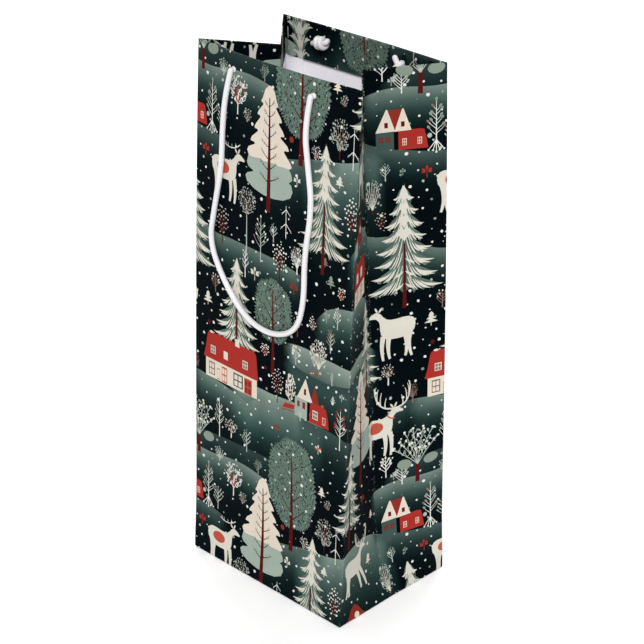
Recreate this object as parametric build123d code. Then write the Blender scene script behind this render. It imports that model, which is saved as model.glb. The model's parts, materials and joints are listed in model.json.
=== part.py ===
from build123d import *
import os
from math import exp, sqrt, radians, tan

# A wine gift bag: one sheet of art paper creased into a front, a back and two folded-in gussets, glued
# along one seam, closed by four base flaps, stiffened by a base board and two top cards, and carried by
# two cord handles, each knotted behind its card. Millimetres, +Z up, origin in the middle of the base.
# The front faces -Y and the right gusset is at +X.

# Driving dimensions
bag_width = 132.0
bag_depth = 96.0
sheet_height = 343.0  # length of the sheet from the base fold to the top fold
paper = 0.3
glue = 0.05  # layer of glue between two layers of paper
flare_inset = 13.5  # how far the gusset crease is pushed in by the block bottom
flare_length = 18.0  # length of the sheet over which the crease moves in
mouth_inset = 19.5  # how much further the crease is pushed in at the mouth
front_bow = 4.0  # outward bow of the front at the top
rear_bow = 2.0
bow_power = 1.5  # how fast the bow fades towards the base

hem_depth = 25.0
card_depth = 22.0
card_thickness = 1.0
card_half_width = 61.5
hem_half_width = 62.5

cord_radius = 1.65
cord_gap = 0.35  # clear space between a hanging cord and the paper
hole_radius = 2.1
hole_spacing = 64.0
hole_height = 332.5
knot_size = (14.0, 8.0, 9.0)  # across, out from the card, up
stub_reach = 0.3  # how far the fixed part of the cord stands out of its hole

seam_flap_width = 15.0
base_overlap = 8.0  # how far the front and rear base flaps pass the middle line
side_flap_length = 60.0
board_thickness = 1.0
board_half_width = 63.3
board_half_depth = 47.2
board_corner = 3.0

# Routes of the two handle cords from hole to hole, hanging against the paper
front_route = [
    (-32.0, -40.6, 332.5),
    (-36.5, -41.0, 318.0),
    (-38.9, -41.6, 296.0),
    (-39.4, -42.4, 272.0),
    (-46.0, -43.0, 243.0),
    (-50.0, -43.5, 221.0),
    (-36.0, -44.7, 199.0),
    (-17.0, -45.5, 181.5),
    (6.0, -45.6, 178.0),
    (26.0, -45.2, 188.0),
    (31.2, -44.5, 210.0),
    (30.5, -43.8, 236.0),
    (35.5, -42.7, 268.0),
    (31.5, -42.1, 292.0),
    (28.2, -41.5, 313.5),
    (32.0, -40.6, 332.5),
]
rear_route = [
    (32.0, 39.2, 332.5),
    (35.0, 39.8, 317.0),
    (34.2, 40.7, 295.0),
    (37.6, 41.6, 270.0),
    (39.0, 42.5, 245.0),
    (37.0, 43.4, 219.0),
    (25.5, 44.2, 198.0),
    (8.5, 44.8, 182.5),
    (-13.5, 44.8, 181.0),
    (-31.0, 44.2, 195.0),
    (-38.0, 43.4, 217.0),
    (-36.2, 42.6, 243.0),
    (-38.5, 41.6, 269.0),
    (-36.4, 40.7, 293.0),
    (-30.5, 40.0, 314.0),
    (-32.0, 39.2, 332.5),
]

half_width = bag_width / 2
stack = paper + glue + card_thickness + glue + paper  # panel, card and hem together
fold_level = sheet_height - paper - glue
hem_level = sheet_height - hem_depth
card_level = sheet_height - card_depth
levels = [0, 10, 22, 40, 75, 130, 200, 260, hem_level, card_level, fold_level, sheet_height]


def inset(u):
    """How far the gusset crease stands in from the side at the length u up the sheet."""
    return flare_inset * (1 - exp(-u / flare_length)) + mouth_inset * u / sheet_height


def half_depth(u):
    """Half the distance from front to rear, which the gusset's two halves set."""
    return sqrt((bag_depth / 2) ** 2 - inset(u) ** 2)


def heights(across):
    """The height of each level where the sheet also moves sideways by across(u)."""
    z, found = 0.0, {levels[0]: 0.0}
    for low, high in zip(levels, levels[1:]):
        z += sqrt((high - low) ** 2 - (across(high) - across(low)) ** 2)
        found[high] = z
    return found


panel_z = heights(half_depth)
crease_z = heights(inset)


def levels_between(low, high):
    return [u for u in levels if low <= u <= high]


def bow_line(u, x, bow):
    """Distance of the panel's outer face from the middle plane, at the length u and the place x."""
    return half_depth(u) + bow * (u / sheet_height) ** bow_power * (1 - (x / half_width) ** 2)


def panel_edge(u, half, offset, end, bow):
    """One long edge of a panel's section, as a flat arc. end is -1 at the front and 1 at the rear."""
    side = end * (bow_line(u, half, bow) - offset)
    middle = end * (bow_line(u, 0, bow) - offset)
    z = panel_z[u]
    if abs(side - middle) < 0.001:
        return Line((-half, side, z), (half, side, z))
    return ThreePointArc((-half, side, z), (0, middle, z), (half, side, z))


def panel_section(u, half, offset, thickness, end, bow):
    outer = panel_edge(u, half, offset, end, bow)
    inner = panel_edge(u, half, offset + thickness, end, bow)
    return Wire([outer, Line(outer @ 1, inner @ 1), inner, Line(inner @ 0, outer @ 0)])


def panel_layer(low, high, half, offset, thickness, end, bow):
    """A layer of a front or rear panel, offset inwards from its outer face."""
    sections = [panel_section(u, half, offset, thickness, end, bow) for u in levels_between(low, high)]
    return Solid.make_loft(sections, ruled=True)


def gusset_section(u, side, end, offset, start):
    """One gusset half's section: side is -1 or 1 along X, end -1 or 1 along Y, offset is inwards."""
    depth, crease = half_depth(u), inset(u)
    along_x = sqrt(depth**2 + crease**2) / depth  # width along X of one millimetre of thickness

    def corner(from_panel, thickness):
        share = from_panel / depth
        return (
            side * (half_width - crease * share - (offset + thickness) * along_x),
            end * (depth - from_panel),
            panel_z[u] + (crease_z[u] - panel_z[u]) * share,
        )

    near_crease = depth - glue / 2
    return Wire.make_polygon(
        [corner(start, 0), corner(near_crease, 0), corner(near_crease, paper), corner(start, paper)]
    )


def gusset_layer(low, high, side, end, offset, start):
    sections = [gusset_section(u, side, end, offset, start) for u in levels_between(low, high)]
    return Solid.make_loft(sections, ruled=True)


def across_bag(radius, x, z, y_from, y_to):
    """A round bar along Y."""
    return Solid.make_cylinder(radius, y_to - y_from, Plane((x, y_from, z), z_dir=(0, 1, 0)))


def with_handle_holes(layer):
    for x in (-hole_spacing / 2, hole_spacing / 2):
        layer -= across_bag(hole_radius, x, hole_height, -bag_depth, bag_depth)
    return layer


def main_panel(end, bow):
    return with_handle_holes(panel_layer(0, fold_level, half_width, 0, paper, end, bow))


def top_card(end, bow):
    blank = panel_layer(card_level, fold_level, card_half_width, paper + glue, card_thickness, end, bow)
    return with_handle_holes(blank)


def panel_hem(end, bow):
    """The turned-in edge: a strip behind the card and the fold that caps the panel and the card."""
    strip = panel_layer(hem_level, sheet_height, hem_half_width, stack - paper, paper, end, bow)
    fold = panel_section(sheet_height, hem_half_width, 0, stack, end, bow)
    cap = Solid.extrude(Face(fold), Vector(0, 0, -paper))
    return with_handle_holes(strip + cap)


def seam_flap():
    """The strip of the left gusset that is glued inside the rear panel."""
    flap_end = -half_width + 1.2
    sections = []
    for u in levels_between(0, hem_level):
        y = [bow_line(u, half_width, rear_bow) - paper - glue - t for t in (0, paper)]
        x = (flap_end, flap_end + seam_flap_width)
        z = panel_z[u] if u else 3 * (paper + glue)
        sections.append(Wire.make_polygon([(x[0], y[0], z), (x[1], y[0], z), (x[1], y[1], z), (x[0], y[1], z)]))
    return Solid.make_loft(sections, ruled=True)


def long_base_flap(end, layer):
    """A front or rear base flap, cut at 45 degrees, on its layer counted from the floor."""
    near = bag_depth / 2 - paper - glue
    reach = bag_depth / 2 + base_overlap - paper
    wide = half_width - 2 * paper - 2 * glue
    outline = [(-wide, near), (wide, near), (wide - reach, near - reach), (reach - wide, near - reach)]
    z = layer * (paper + glue)
    face = Face(Wire.make_polygon([(x, end * y, z) for x, y in outline]))
    return Solid.extrude(face, Vector(0, 0, paper))


def side_base_flap(side, layer):
    near = half_width - 3 * (paper + glue)
    deep = bag_depth / 2 - 2 * (paper + glue)
    z = layer * (paper + glue)
    outline = [(near, -deep), (near, deep), (near - side_flap_length, deep), (near - side_flap_length, -deep)]
    face = Face(Wire.make_polygon([(side * x, y, z) for x, y in outline]))
    return Solid.extrude(face, Vector(0, 0, paper))


def base_board():
    rest = 3 * (paper + glue) + glue
    blank = Box(2 * board_half_width, 2 * board_half_depth, board_thickness, align=Align.CENTER)
    rounded = fillet(blank.edges().filter_by(Axis.Z), board_corner)
    return Pos(0, 0, rest + board_thickness / 2) * rounded


def knot(x, end, bow):
    """A handle cord's knot behind the card, with the short length of cord through the hole."""
    face = interpolated_face(x, bow)
    across, out, up = knot_size
    middle = end * (face - stack - glue - out / 2)
    bead = Pos(x, middle, hole_height) * Sphere(0.5).scale((across, out, up))
    tips = sorted((middle, end * (face + stub_reach)))
    return bead + across_bag(cord_radius, x, hole_height, tips[0], tips[1])


def interpolated_face(x, bow):
    """The outer face's distance from the middle plane at the height of the handle holes."""
    low, high = card_level, fold_level
    share = (hole_height - panel_z[low]) / (panel_z[high] - panel_z[low])
    return bow_line(low, x, bow) + share * (bow_line(high, x, bow) - bow_line(low, x, bow))


def bend_radii(route):
    """Each corner's largest arc: 0.45 of its shorter run over the tangent of half its turn."""
    found = []
    points = [Vector(*p) for p in route]
    for before, at, after in zip(points, points[1:], points[2:]):
        run_in, run_out = at - before, after - at
        shorter = min(run_in.length, run_out.length)
        found.append(0.45 * shorter / tan(radians(run_in.get_angle(run_out)) / 2))
    return found


def handle_cord(name, route):
    """A hanging handle: its tube, and a ball at each end that turns on the line through both holes."""
    radii = bend_radii(route)
    path = FilletPolyline(*route, radius=radii)
    start = Plane(path @ 0, z_dir=path % 0)
    tube = sweep(start * Circle(cord_radius), path=path)
    section = 3.14159265 * cord_radius**2
    print(name, "length", round(path.length, 1), "smallest radius", round(min(radii), 1))
    print(name, "radii", [round(r, 1) for r in radii])
    print(name, "volume over section times length", round(tube.volume / (section * path.length), 4))
    for tip in (route[0], route[-1]):
        tube += Pos(*tip) * Sphere(cord_radius)
    return tube


nodes = {
    "front_panel": main_panel(-1, front_bow),
    "rear_panel": main_panel(1, rear_bow),
    "front_top_card": top_card(-1, front_bow),
    "rear_top_card": top_card(1, rear_bow),
    "front_hem": panel_hem(-1, front_bow),
    "rear_hem": panel_hem(1, rear_bow),
    "seam_flap": seam_flap(),
    "base_flap_front": long_base_flap(-1, 0),
    "base_flap_rear": long_base_flap(1, 1),
    "base_flap_left": side_base_flap(-1, 2),
    "base_flap_right": side_base_flap(1, 2),
    "base_board": base_board(),
    "front_handle_cord": handle_cord("front_handle_cord", front_route),
    "rear_handle_cord": handle_cord("rear_handle_cord", rear_route),
}
for side, side_name in ((-1, "left"), (1, "right")):
    for end, end_name, bow in ((-1, "front", front_bow), (1, "rear", rear_bow)):
        gusset = f"{side_name}_gusset_{end_name}_half"
        nodes[gusset] = gusset_layer(0, sheet_height, side, end, 0, paper + glue)
        nodes[f"{gusset}_hem"] = gusset_layer(hem_level, sheet_height, side, end, paper + glue, stack + paper)
        nodes[f"{end_name}_knot_{side_name}"] = knot(side * hole_spacing / 2, end, bow)

os.makedirs("parts", exist_ok=True)
for name, shape in nodes.items():
    export_step(shape, f"parts/{name}.step")
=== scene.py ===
"""Looks for the wine gift bag: one folded, printed sheet with its hem, card, base and knotted handles.

Lengths in the sheet's own plane are in millimetres: s runs round the bag from the front left corner, and
w runs up the sheet from the base fold. Everything that is placed in the scene is in metres.
"""

import json
import math
import random

import bpy
import numpy as np
from mathutils import Matrix, Vector
from mathutils.geometry import delaunay_2d_cdt
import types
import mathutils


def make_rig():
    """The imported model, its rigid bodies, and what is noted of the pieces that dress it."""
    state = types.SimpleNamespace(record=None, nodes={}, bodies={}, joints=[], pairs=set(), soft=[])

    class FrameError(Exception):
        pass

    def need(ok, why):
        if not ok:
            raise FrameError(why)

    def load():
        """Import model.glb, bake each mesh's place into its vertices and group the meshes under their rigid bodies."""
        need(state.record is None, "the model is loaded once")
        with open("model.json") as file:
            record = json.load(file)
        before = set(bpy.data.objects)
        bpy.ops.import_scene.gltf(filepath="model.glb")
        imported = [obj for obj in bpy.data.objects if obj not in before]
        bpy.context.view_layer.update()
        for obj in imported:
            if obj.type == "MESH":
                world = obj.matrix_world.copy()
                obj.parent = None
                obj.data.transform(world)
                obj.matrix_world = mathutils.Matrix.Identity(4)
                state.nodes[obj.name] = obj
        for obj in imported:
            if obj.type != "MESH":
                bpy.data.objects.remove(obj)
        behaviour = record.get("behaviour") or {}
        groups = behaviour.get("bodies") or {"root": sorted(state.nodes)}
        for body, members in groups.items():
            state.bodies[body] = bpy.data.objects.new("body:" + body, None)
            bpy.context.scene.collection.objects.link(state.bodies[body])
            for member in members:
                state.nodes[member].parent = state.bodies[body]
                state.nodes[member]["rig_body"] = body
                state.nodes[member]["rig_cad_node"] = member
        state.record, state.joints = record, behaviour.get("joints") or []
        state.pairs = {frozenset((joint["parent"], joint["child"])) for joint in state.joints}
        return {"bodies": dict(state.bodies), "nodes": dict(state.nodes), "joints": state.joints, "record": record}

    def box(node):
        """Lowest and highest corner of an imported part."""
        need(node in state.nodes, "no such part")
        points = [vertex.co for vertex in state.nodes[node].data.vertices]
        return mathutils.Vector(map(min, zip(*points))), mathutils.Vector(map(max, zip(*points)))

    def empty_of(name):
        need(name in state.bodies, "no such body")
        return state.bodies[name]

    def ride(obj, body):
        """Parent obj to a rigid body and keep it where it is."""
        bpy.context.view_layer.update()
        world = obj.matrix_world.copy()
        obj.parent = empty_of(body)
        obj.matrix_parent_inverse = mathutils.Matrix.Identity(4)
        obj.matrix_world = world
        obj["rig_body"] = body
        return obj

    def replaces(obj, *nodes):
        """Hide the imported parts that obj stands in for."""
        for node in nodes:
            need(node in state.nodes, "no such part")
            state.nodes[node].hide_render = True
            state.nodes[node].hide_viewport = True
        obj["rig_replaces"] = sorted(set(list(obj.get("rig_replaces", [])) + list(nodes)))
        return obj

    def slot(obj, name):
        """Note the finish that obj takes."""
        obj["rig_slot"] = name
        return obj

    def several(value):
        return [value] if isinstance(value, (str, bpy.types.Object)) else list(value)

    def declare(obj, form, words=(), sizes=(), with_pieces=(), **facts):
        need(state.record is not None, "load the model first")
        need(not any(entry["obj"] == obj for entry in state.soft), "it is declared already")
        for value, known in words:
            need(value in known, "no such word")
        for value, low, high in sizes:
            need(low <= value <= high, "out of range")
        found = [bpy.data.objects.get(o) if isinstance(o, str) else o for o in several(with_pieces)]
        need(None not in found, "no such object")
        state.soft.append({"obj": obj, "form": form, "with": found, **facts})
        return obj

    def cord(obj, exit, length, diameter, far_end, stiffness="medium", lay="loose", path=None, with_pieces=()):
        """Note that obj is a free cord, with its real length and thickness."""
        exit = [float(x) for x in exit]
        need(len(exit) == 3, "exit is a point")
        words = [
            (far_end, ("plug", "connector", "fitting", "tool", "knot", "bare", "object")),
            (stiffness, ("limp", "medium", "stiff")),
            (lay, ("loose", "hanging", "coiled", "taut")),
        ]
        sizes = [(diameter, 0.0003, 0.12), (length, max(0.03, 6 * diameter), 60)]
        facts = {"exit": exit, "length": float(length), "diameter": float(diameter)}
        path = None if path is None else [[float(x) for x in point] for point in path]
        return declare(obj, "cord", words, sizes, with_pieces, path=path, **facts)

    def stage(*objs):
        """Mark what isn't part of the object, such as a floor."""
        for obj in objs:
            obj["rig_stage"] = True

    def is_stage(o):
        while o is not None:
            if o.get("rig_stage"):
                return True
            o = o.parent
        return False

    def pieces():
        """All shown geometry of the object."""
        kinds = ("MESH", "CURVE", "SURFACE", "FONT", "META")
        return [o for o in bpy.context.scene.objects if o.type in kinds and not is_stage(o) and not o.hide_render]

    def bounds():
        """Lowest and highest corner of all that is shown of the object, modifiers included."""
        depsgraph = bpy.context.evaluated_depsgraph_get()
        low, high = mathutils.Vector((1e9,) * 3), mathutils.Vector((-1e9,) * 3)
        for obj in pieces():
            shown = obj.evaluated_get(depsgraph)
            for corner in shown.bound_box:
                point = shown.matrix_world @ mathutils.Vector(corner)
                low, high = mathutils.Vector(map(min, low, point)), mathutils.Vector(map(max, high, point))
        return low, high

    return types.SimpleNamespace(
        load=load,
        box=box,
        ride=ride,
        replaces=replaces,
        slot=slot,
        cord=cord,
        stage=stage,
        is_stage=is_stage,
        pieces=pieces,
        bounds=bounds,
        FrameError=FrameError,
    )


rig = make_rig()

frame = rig.load()
CAD_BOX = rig.bounds()
NODES = frame["nodes"]
scene = bpy.context.scene
scene.view_settings.view_transform = "Standard"

MM = 0.001

# The sheet, in millimetres
HALF_WIDTH = CAD_BOX[1].x / MM
HALF_DEPTH = CAD_BOX[1].y / MM
SHEET = 343.0  # base fold to top fold
PAPER, GLUE, CARD = 0.3, 0.05, 1.0
FLARE_INSET, FLARE_LENGTH, MOUTH_INSET = 13.5, 18.0, 19.5  # of the gusset's middle crease
FRONT_BOW, REAR_BOW, BOW_POWER = 4.0, 2.0, 1.5  # how far the panels bow outwards at the mouth
HEM_DEPTH = 25.0
THIN_STACK = 2 * PAPER + GLUE  # gusset top: two layers of paper
FULL_STACK = 2 * PAPER + 2 * GLUE + CARD  # panel top: two layers and the card
CREASE_RADIUS = 0.9  # rounding of every crease, measured along the sheet from the crease
BASE_RADIUS = 1.1  # the same for the base fold
CREASE_REACH = 5.0  # how far beside a crease the inner layers are moved along the sheet to clear it
BASE_LIFT = 6.0  # below this level the inner face is lifted off the base
CORD_RADIUS = 1.65
HOLE_RADIUS, HOLE_X, HOLE_LEVEL = 2.1, 32.0, 332.8

# Where each facet starts and ends round the bag
CORNERS = {
    "left_rear": (-96.0, -48.0),
    "left_front": (-48.0, 0.0),
    "front": (0.0, 132.0),
    "right_front": (132.0, 180.0),
    "right_rear": (180.0, 228.0),
    "rear": (228.0, 360.0),
}
ROUND = list(CORNERS)


def add_object(name, data):
    """A new object in the scene."""
    made = bpy.data.objects.new(name, data)
    scene.collection.objects.link(made)
    return made


# ---------------------------------------------------------------- camera

def toward(azimuth, elevation):
    """The direction from the bag to a place round it, in degrees from the front and from the floor."""
    turn, lift = math.radians(azimuth), math.radians(elevation)
    return Vector((math.sin(turn) * math.cos(lift), -math.cos(turn) * math.cos(lift), math.sin(lift)))


def make_camera():
    """The camera's place and the way it looks, with its small roll."""
    azimuth, elevation, roll = 44.19, 26.01, 0.0069  # degrees, degrees and radians
    distance, target = 1.1653, Vector((0.0014, 0.0011, 0.1697))
    away = toward(azimuth, elevation)
    right = (-away).cross(Vector((0, 0, 1))).normalized()
    up = right.cross(-away)
    turned_right = math.cos(roll) * right + math.sin(roll) * up
    turned_up = -math.sin(roll) * right + math.cos(roll) * up
    camera = add_object("camera", bpy.data.cameras.new("camera"))
    camera.data.lens = 106.5
    camera.data.sensor_width = 36.0
    camera.data.clip_start, camera.data.clip_end = 0.05, 20.0
    rotation = Matrix((turned_right, turned_up, away)).transposed().to_4x4()
    camera.matrix_world = Matrix.Translation(target + away * distance) @ rotation
    scene.camera = camera


make_camera()


# ---------------------------------------------------------------- material helpers

def linear(r, g, b):
    """A 0 to 255 screen colour as scene-linear RGBA."""
    def channel(value):
        value /= 255.0
        return value / 12.92 if value <= 0.04045 else ((value + 0.055) / 1.055) ** 2.4
    return (channel(r), channel(g), channel(b), 1.0)


class Nodes:
    """A material and short calls that add its nodes; inputs may be values or other nodes' outputs."""

    def __init__(self, name):
        self.material = bpy.data.materials.new(name)
        self.material.use_nodes = True
        self.tree = self.material.node_tree
        self.shader = self.tree.nodes["Principled BSDF"]

    def add(self, kind, inputs=(), **settings):
        node = self.tree.nodes.new(kind)
        for key, value in settings.items():
            setattr(node, key, value)
        for key, value in dict(inputs).items():
            self.put(node, key, value)
        return node

    def put(self, node, key, value):
        if isinstance(value, bpy.types.NodeSocket):
            self.tree.links.new(value, node.inputs[key])
        else:
            node.inputs[key].default_value = value

    def math(self, operation, a, b=0.0):
        return self.add("ShaderNodeMath", {0: a, 1: b}, operation=operation).outputs[0]

    def times(self, a, b):
        return self.math("MULTIPLY", a, b)

    def ramp(self, value, low, high, start=0.0, end=1.0):
        inputs = {"Value": value, "From Min": low, "From Max": high, "To Min": start, "To Max": end}
        return self.add("ShaderNodeMapRange", inputs, clamp=True).outputs[0]

    def mix(self, share, a, b):
        return self.add("ShaderNodeMix", {0: share, 6: a, 7: b}, data_type="RGBA").outputs[2]

    def attribute(self, name, kind):
        return self.add("ShaderNodeAttribute", attribute_name=name).outputs[kind]

    def noise(self, scale, detail=3.0, roughness=0.5):
        """Noise in object space; scale is in features per metre."""
        place = self.add("ShaderNodeTexCoord").outputs["Object"]
        inputs = {"Scale": scale, "Detail": detail, "Roughness": roughness, "Vector": place}
        return self.add("ShaderNodeTexNoise", inputs).outputs["Fac"]

    def bump(self, height, distance, strength):
        inputs = {"Strength": strength, "Distance": distance, "Height": height}
        return self.add("ShaderNodeBump", inputs).outputs[0]

    def shade(self, **inputs):
        for key, value in inputs.items():
            self.put(self.shader, key.replace("_", " "), value)
        return self.material


def fibres(nodes, fine=2600.0, coarse=420.0):
    """The small relief of a paper surface, from 0 to 1."""
    small, large = nodes.noise(fine, 4.0, 0.6), nodes.noise(coarse, 2.0, 0.5)
    return nodes.math("ADD", nodes.times(small, 0.6), nodes.times(large, 0.4))


def printed_paper():
    """Satin coated art paper: ink with a little grain, and white flecks where a crease has cracked the ink."""
    nodes = Nodes("printed_paper")
    relief = fibres(nodes)
    grain = nodes.ramp(nodes.noise(3400.0, 2.0, 0.7), 0.25, 0.75, 0.9, 1.1)
    cloud = nodes.ramp(nodes.noise(60.0, 3.0, 0.55), 0.3, 0.7, 0.96, 1.04)
    inputs = {0: nodes.attribute("ink", "Color"), "Scale": nodes.times(grain, cloud)}
    colour = nodes.add("ShaderNodeVectorMath", inputs, operation="SCALE").outputs[0]
    cracked = nodes.ramp(nodes.noise(1300.0, 4.0, 0.75), 0.575, 0.64)
    rare = nodes.ramp(nodes.noise(180.0, 2.0, 0.5), 0.42, 0.56)
    fleck = nodes.times(nodes.times(cracked, rare), nodes.attribute("fold", "Fac"))
    return nodes.shade(
        Base_Color=nodes.mix(fleck, colour, linear(182, 181, 176)), Roughness=nodes.ramp(relief, 0.3, 0.7, 0.56, 0.7),
        Normal=nodes.bump(relief, 0.00003, 0.35), Specular_IOR_Level=0.02,
    )


def white_paper(name, colour, shade, rough_from, rough_to, depth):
    """Uncoated white paper or card with soft cloudy tone and a fibrous surface."""
    nodes = Nodes(name)
    relief = fibres(nodes, 1900.0, 300.0)
    tone = nodes.ramp(nodes.noise(90.0, 3.0, 0.6), 0.3, 0.7)
    return nodes.shade(
        Base_Color=nodes.mix(tone, linear(*colour), linear(*shade)), Normal=nodes.bump(relief, depth, 0.5),
        Roughness=nodes.ramp(relief, 0.3, 0.7, rough_from, rough_to), Specular_IOR_Level=0.25,
    )


def braided_cord():
    """Smooth braided polyester: two families of strands that pass over and under each other."""
    strands, repeat = 12, 2.6  # strands round the cord, and millimetres along it for one pass
    nodes = Nodes("white_cord")
    place = nodes.add("ShaderNodeSeparateXYZ", {0: nodes.attribute("braid", "Vector")})
    turns = nodes.times(place.outputs[0], strands * math.tau)
    rise = nodes.times(place.outputs[1], math.tau / repeat)
    one, two = (nodes.math("SINE", nodes.math(way, turns, rise)) for way in ("ADD", "SUBTRACT"))
    weave = nodes.times(nodes.math("ADD", nodes.times(one, two), 1.0), 0.5)
    fuzz = nodes.noise(5200.0, 3.0, 0.6)
    height = nodes.math("ADD", nodes.times(weave, 0.8), nodes.times(fuzz, 0.2))
    return nodes.shade(
        # the colour is darker where the braid is low: painted shade between the strands, mixed with a little random
        # fibre tone from the fuzz
        Base_Color=nodes.mix(height, linear(197, 196, 199), linear(218, 217, 219)),
        Roughness=nodes.ramp(height, 0.2, 0.9, 0.62, 0.48), Normal=nodes.bump(height, 0.00012, 0.7),
        Sheen_Weight=0.25, Sheen_Roughness=0.4,
    )


INK = printed_paper()
INSIDE = white_paper("paper_inside", (246, 244, 248), (240, 238, 243), 0.72, 0.86, 0.00003)
EDGE = white_paper("paper_edge", (210, 207, 204), (198, 195, 192), 0.8, 0.9, 0.00003)
WHITE_CARD = white_paper("white_card", (236, 234, 232), (226, 224, 221), 0.78, 0.9, 0.00005)
GREY_BOARD = white_paper("grey_board", (226, 222, 216), (209, 204, 197), 0.82, 0.94, 0.00008)
CORD = braided_cord()
for node, material in (
    ("front_top_card", WHITE_CARD), ("rear_top_card", WHITE_CARD), ("base_board", GREY_BOARD), ("seam_flap", INSIDE),
):
    NODES[node].data.materials.clear()
    NODES[node].data.materials.append(material)


# ---------------------------------------------------------------- handle cords

FRONT_ROUTE = [
    (-0.0320, -0.0406, 0.3325), (-0.0365, -0.0410, 0.3180), (-0.0389, -0.0416, 0.2960), (-0.0394, -0.0424, 0.2720),
    (-0.0460, -0.0430, 0.2430), (-0.0500, -0.0435, 0.2210), (-0.0360, -0.0447, 0.1990), (-0.0170, -0.0455, 0.1815),
    (0.0060, -0.0456, 0.1780), (0.0260, -0.0452, 0.1880), (0.0312, -0.0445, 0.2100), (0.0305, -0.0438, 0.2360),
    (0.0355, -0.0427, 0.2680), (0.0315, -0.0421, 0.2920), (0.0282, -0.0415, 0.3135), (0.0320, -0.0406, 0.3325),
]
REAR_ROUTE = [
    (0.0320, 0.0392, 0.3325), (0.0350, 0.0398, 0.3170), (0.0342, 0.0407, 0.2950), (0.0376, 0.0416, 0.2700),
    (0.0390, 0.0425, 0.2450), (0.0370, 0.0434, 0.2190), (0.0255, 0.0442, 0.1980), (0.0085, 0.0448, 0.1825),
    (-0.0135, 0.0448, 0.1810), (-0.0310, 0.0442, 0.1950), (-0.0380, 0.0434, 0.2170), (-0.0362, 0.0426, 0.2430),
    (-0.0385, 0.0416, 0.2690), (-0.0364, 0.0407, 0.2930), (-0.0305, 0.0400, 0.3140), (-0.0320, 0.0392, 0.3325),
]
FRONT_CORD_LENGTH, REAR_CORD_LENGTH = 0.353, 0.342  # metres, from hole to hole
RING_SPACING = 0.0006
RING_SIDES = 28
CAP_ANGLES = (84, 72, 58, 44, 30, 15)  # the rings of a rounded cord end, from its tip
FLAT_CAP = (0.12, math.cos(math.radians(80)))  # the one ring of a cut end: how far out and how wide


def smooth_line(points):
    """The line of a NURBS spline led by the points, sampled evenly, and its length."""
    curve = bpy.data.curves.new("line", "CURVE")
    curve.dimensions = "3D"
    spline = curve.splines.new("NURBS")
    spline.points.add(len(points) - 1)
    for place, point in zip(spline.points, points):
        place.co = (*point, 1.0)
    spline.order_u = 3
    spline.use_endpoint_u = True
    spline.resolution_u = 24
    holder = add_object("line", curve)
    mesh = bpy.data.meshes.new_from_object(holder)
    line = np.array([v.co for v in mesh.vertices])
    bpy.data.objects.remove(holder)
    bpy.data.curves.remove(curve)
    bpy.data.meshes.remove(mesh)
    run = np.r_[0.0, np.cumsum(np.linalg.norm(np.diff(line, axis=0), axis=1))]
    even = np.linspace(0.0, run[-1], int(run[-1] / RING_SPACING) + 2)
    return np.stack([np.interp(even, run, line[:, axis]) for axis in range(3)], axis=1), run[-1]


def cap_rings(rounded):
    """The rings beyond an end, from the tip: how far out and how wide, in shares of the cord's radius."""
    return [(math.sin(a), math.cos(a)) for a in np.radians(CAP_ANGLES)] if rounded else [FLAT_CAP]


def tube(name, line, radius, round_start, round_end):
    """A closed tube along a line, with a rounded or flat cap at each end, and braid coordinates."""
    ahead = np.gradient(line, axis=0)
    ahead /= np.linalg.norm(ahead, axis=1)[:, None]
    side = np.cross(ahead[0], (0.0, 0.31, 1.0))
    sides = []
    for forward in ahead:
        side = side - forward * np.dot(side, forward)
        side /= np.linalg.norm(side)
        sides.append(side)
    rings = [(0, -out, wide) for out, wide in cap_rings(round_start)]
    rings += [(i, 0.0, 1.0) for i in range(len(line))]
    rings += [(len(line) - 1, out, wide) for out, wide in cap_rings(round_end)[::-1]]
    pick, out, wide = (np.array(column) for column in zip(*rings))
    centres = line[pick] + ahead[pick] * out[:, None] * radius
    sides = np.array(sides)[pick]
    turn = np.linspace(0, math.tau, RING_SIDES, endpoint=False)[:, None]
    ring = np.cos(turn) * sides[:, None] + np.sin(turn) * np.cross(ahead[pick], sides)[:, None]
    points = centres[:, None] + ring * radius * wide[:, None, None]

    run = np.r_[0.0, np.cumsum(np.linalg.norm(np.diff(centres, axis=0), axis=1))] / MM
    faces, braid = [], []

    def put(corners):
        faces.append([i * RING_SIDES + j % RING_SIDES for i, j in corners])
        braid.extend((j / RING_SIDES, run[i], 0.0) for i, j in corners)

    last = len(centres) - 1
    for i in range(last):
        for j in range(RING_SIDES):
            put([(i, j), (i, j + 1), (i + 1, j + 1), (i + 1, j)])
    put([(0, j) for j in reversed(range(RING_SIDES))])
    put([(last, j) for j in range(RING_SIDES)])
    mesh = bpy.data.meshes.new(name)
    mesh.from_pydata(points.reshape(-1, 3).tolist(), [], faces)
    mesh.attributes.new("braid", "FLOAT_VECTOR", "CORNER").data.foreach_set("vector", np.ravel(braid))
    mesh.shade_smooth()
    mesh.materials.append(CORD)
    return add_object(name, mesh)


# ---------------------------------------------------------------- the folded sheet

LEVELS = np.arange(0.0, SHEET + 0.5, 0.25)


def inset(u):
    """How far the gusset's middle crease stands in from the side."""
    return FLARE_INSET * (1 - np.exp(-u / FLARE_LENGTH)) + MOUTH_INSET * u / SHEET


def half_depth(u):
    """How far a panel stands from the bag's middle, its gusset halves keeping their width."""
    return np.sqrt(HALF_DEPTH**2 - inset(u) ** 2)


def climb(across):
    """Height reached at each level by a line that also moves sideways."""
    rise = np.sqrt(np.diff(LEVELS) ** 2 - np.diff(across(LEVELS)) ** 2)
    return np.r_[0.0, np.cumsum(rise)]


PANEL_HEIGHTS, CREASE_HEIGHTS = climb(half_depth), climb(inset)


def height(u, heights):
    """The height of level u of the sheet, going straight down below the base fold."""
    return np.interp(u, LEVELS, heights) + np.minimum(u, 0.0)


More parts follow.
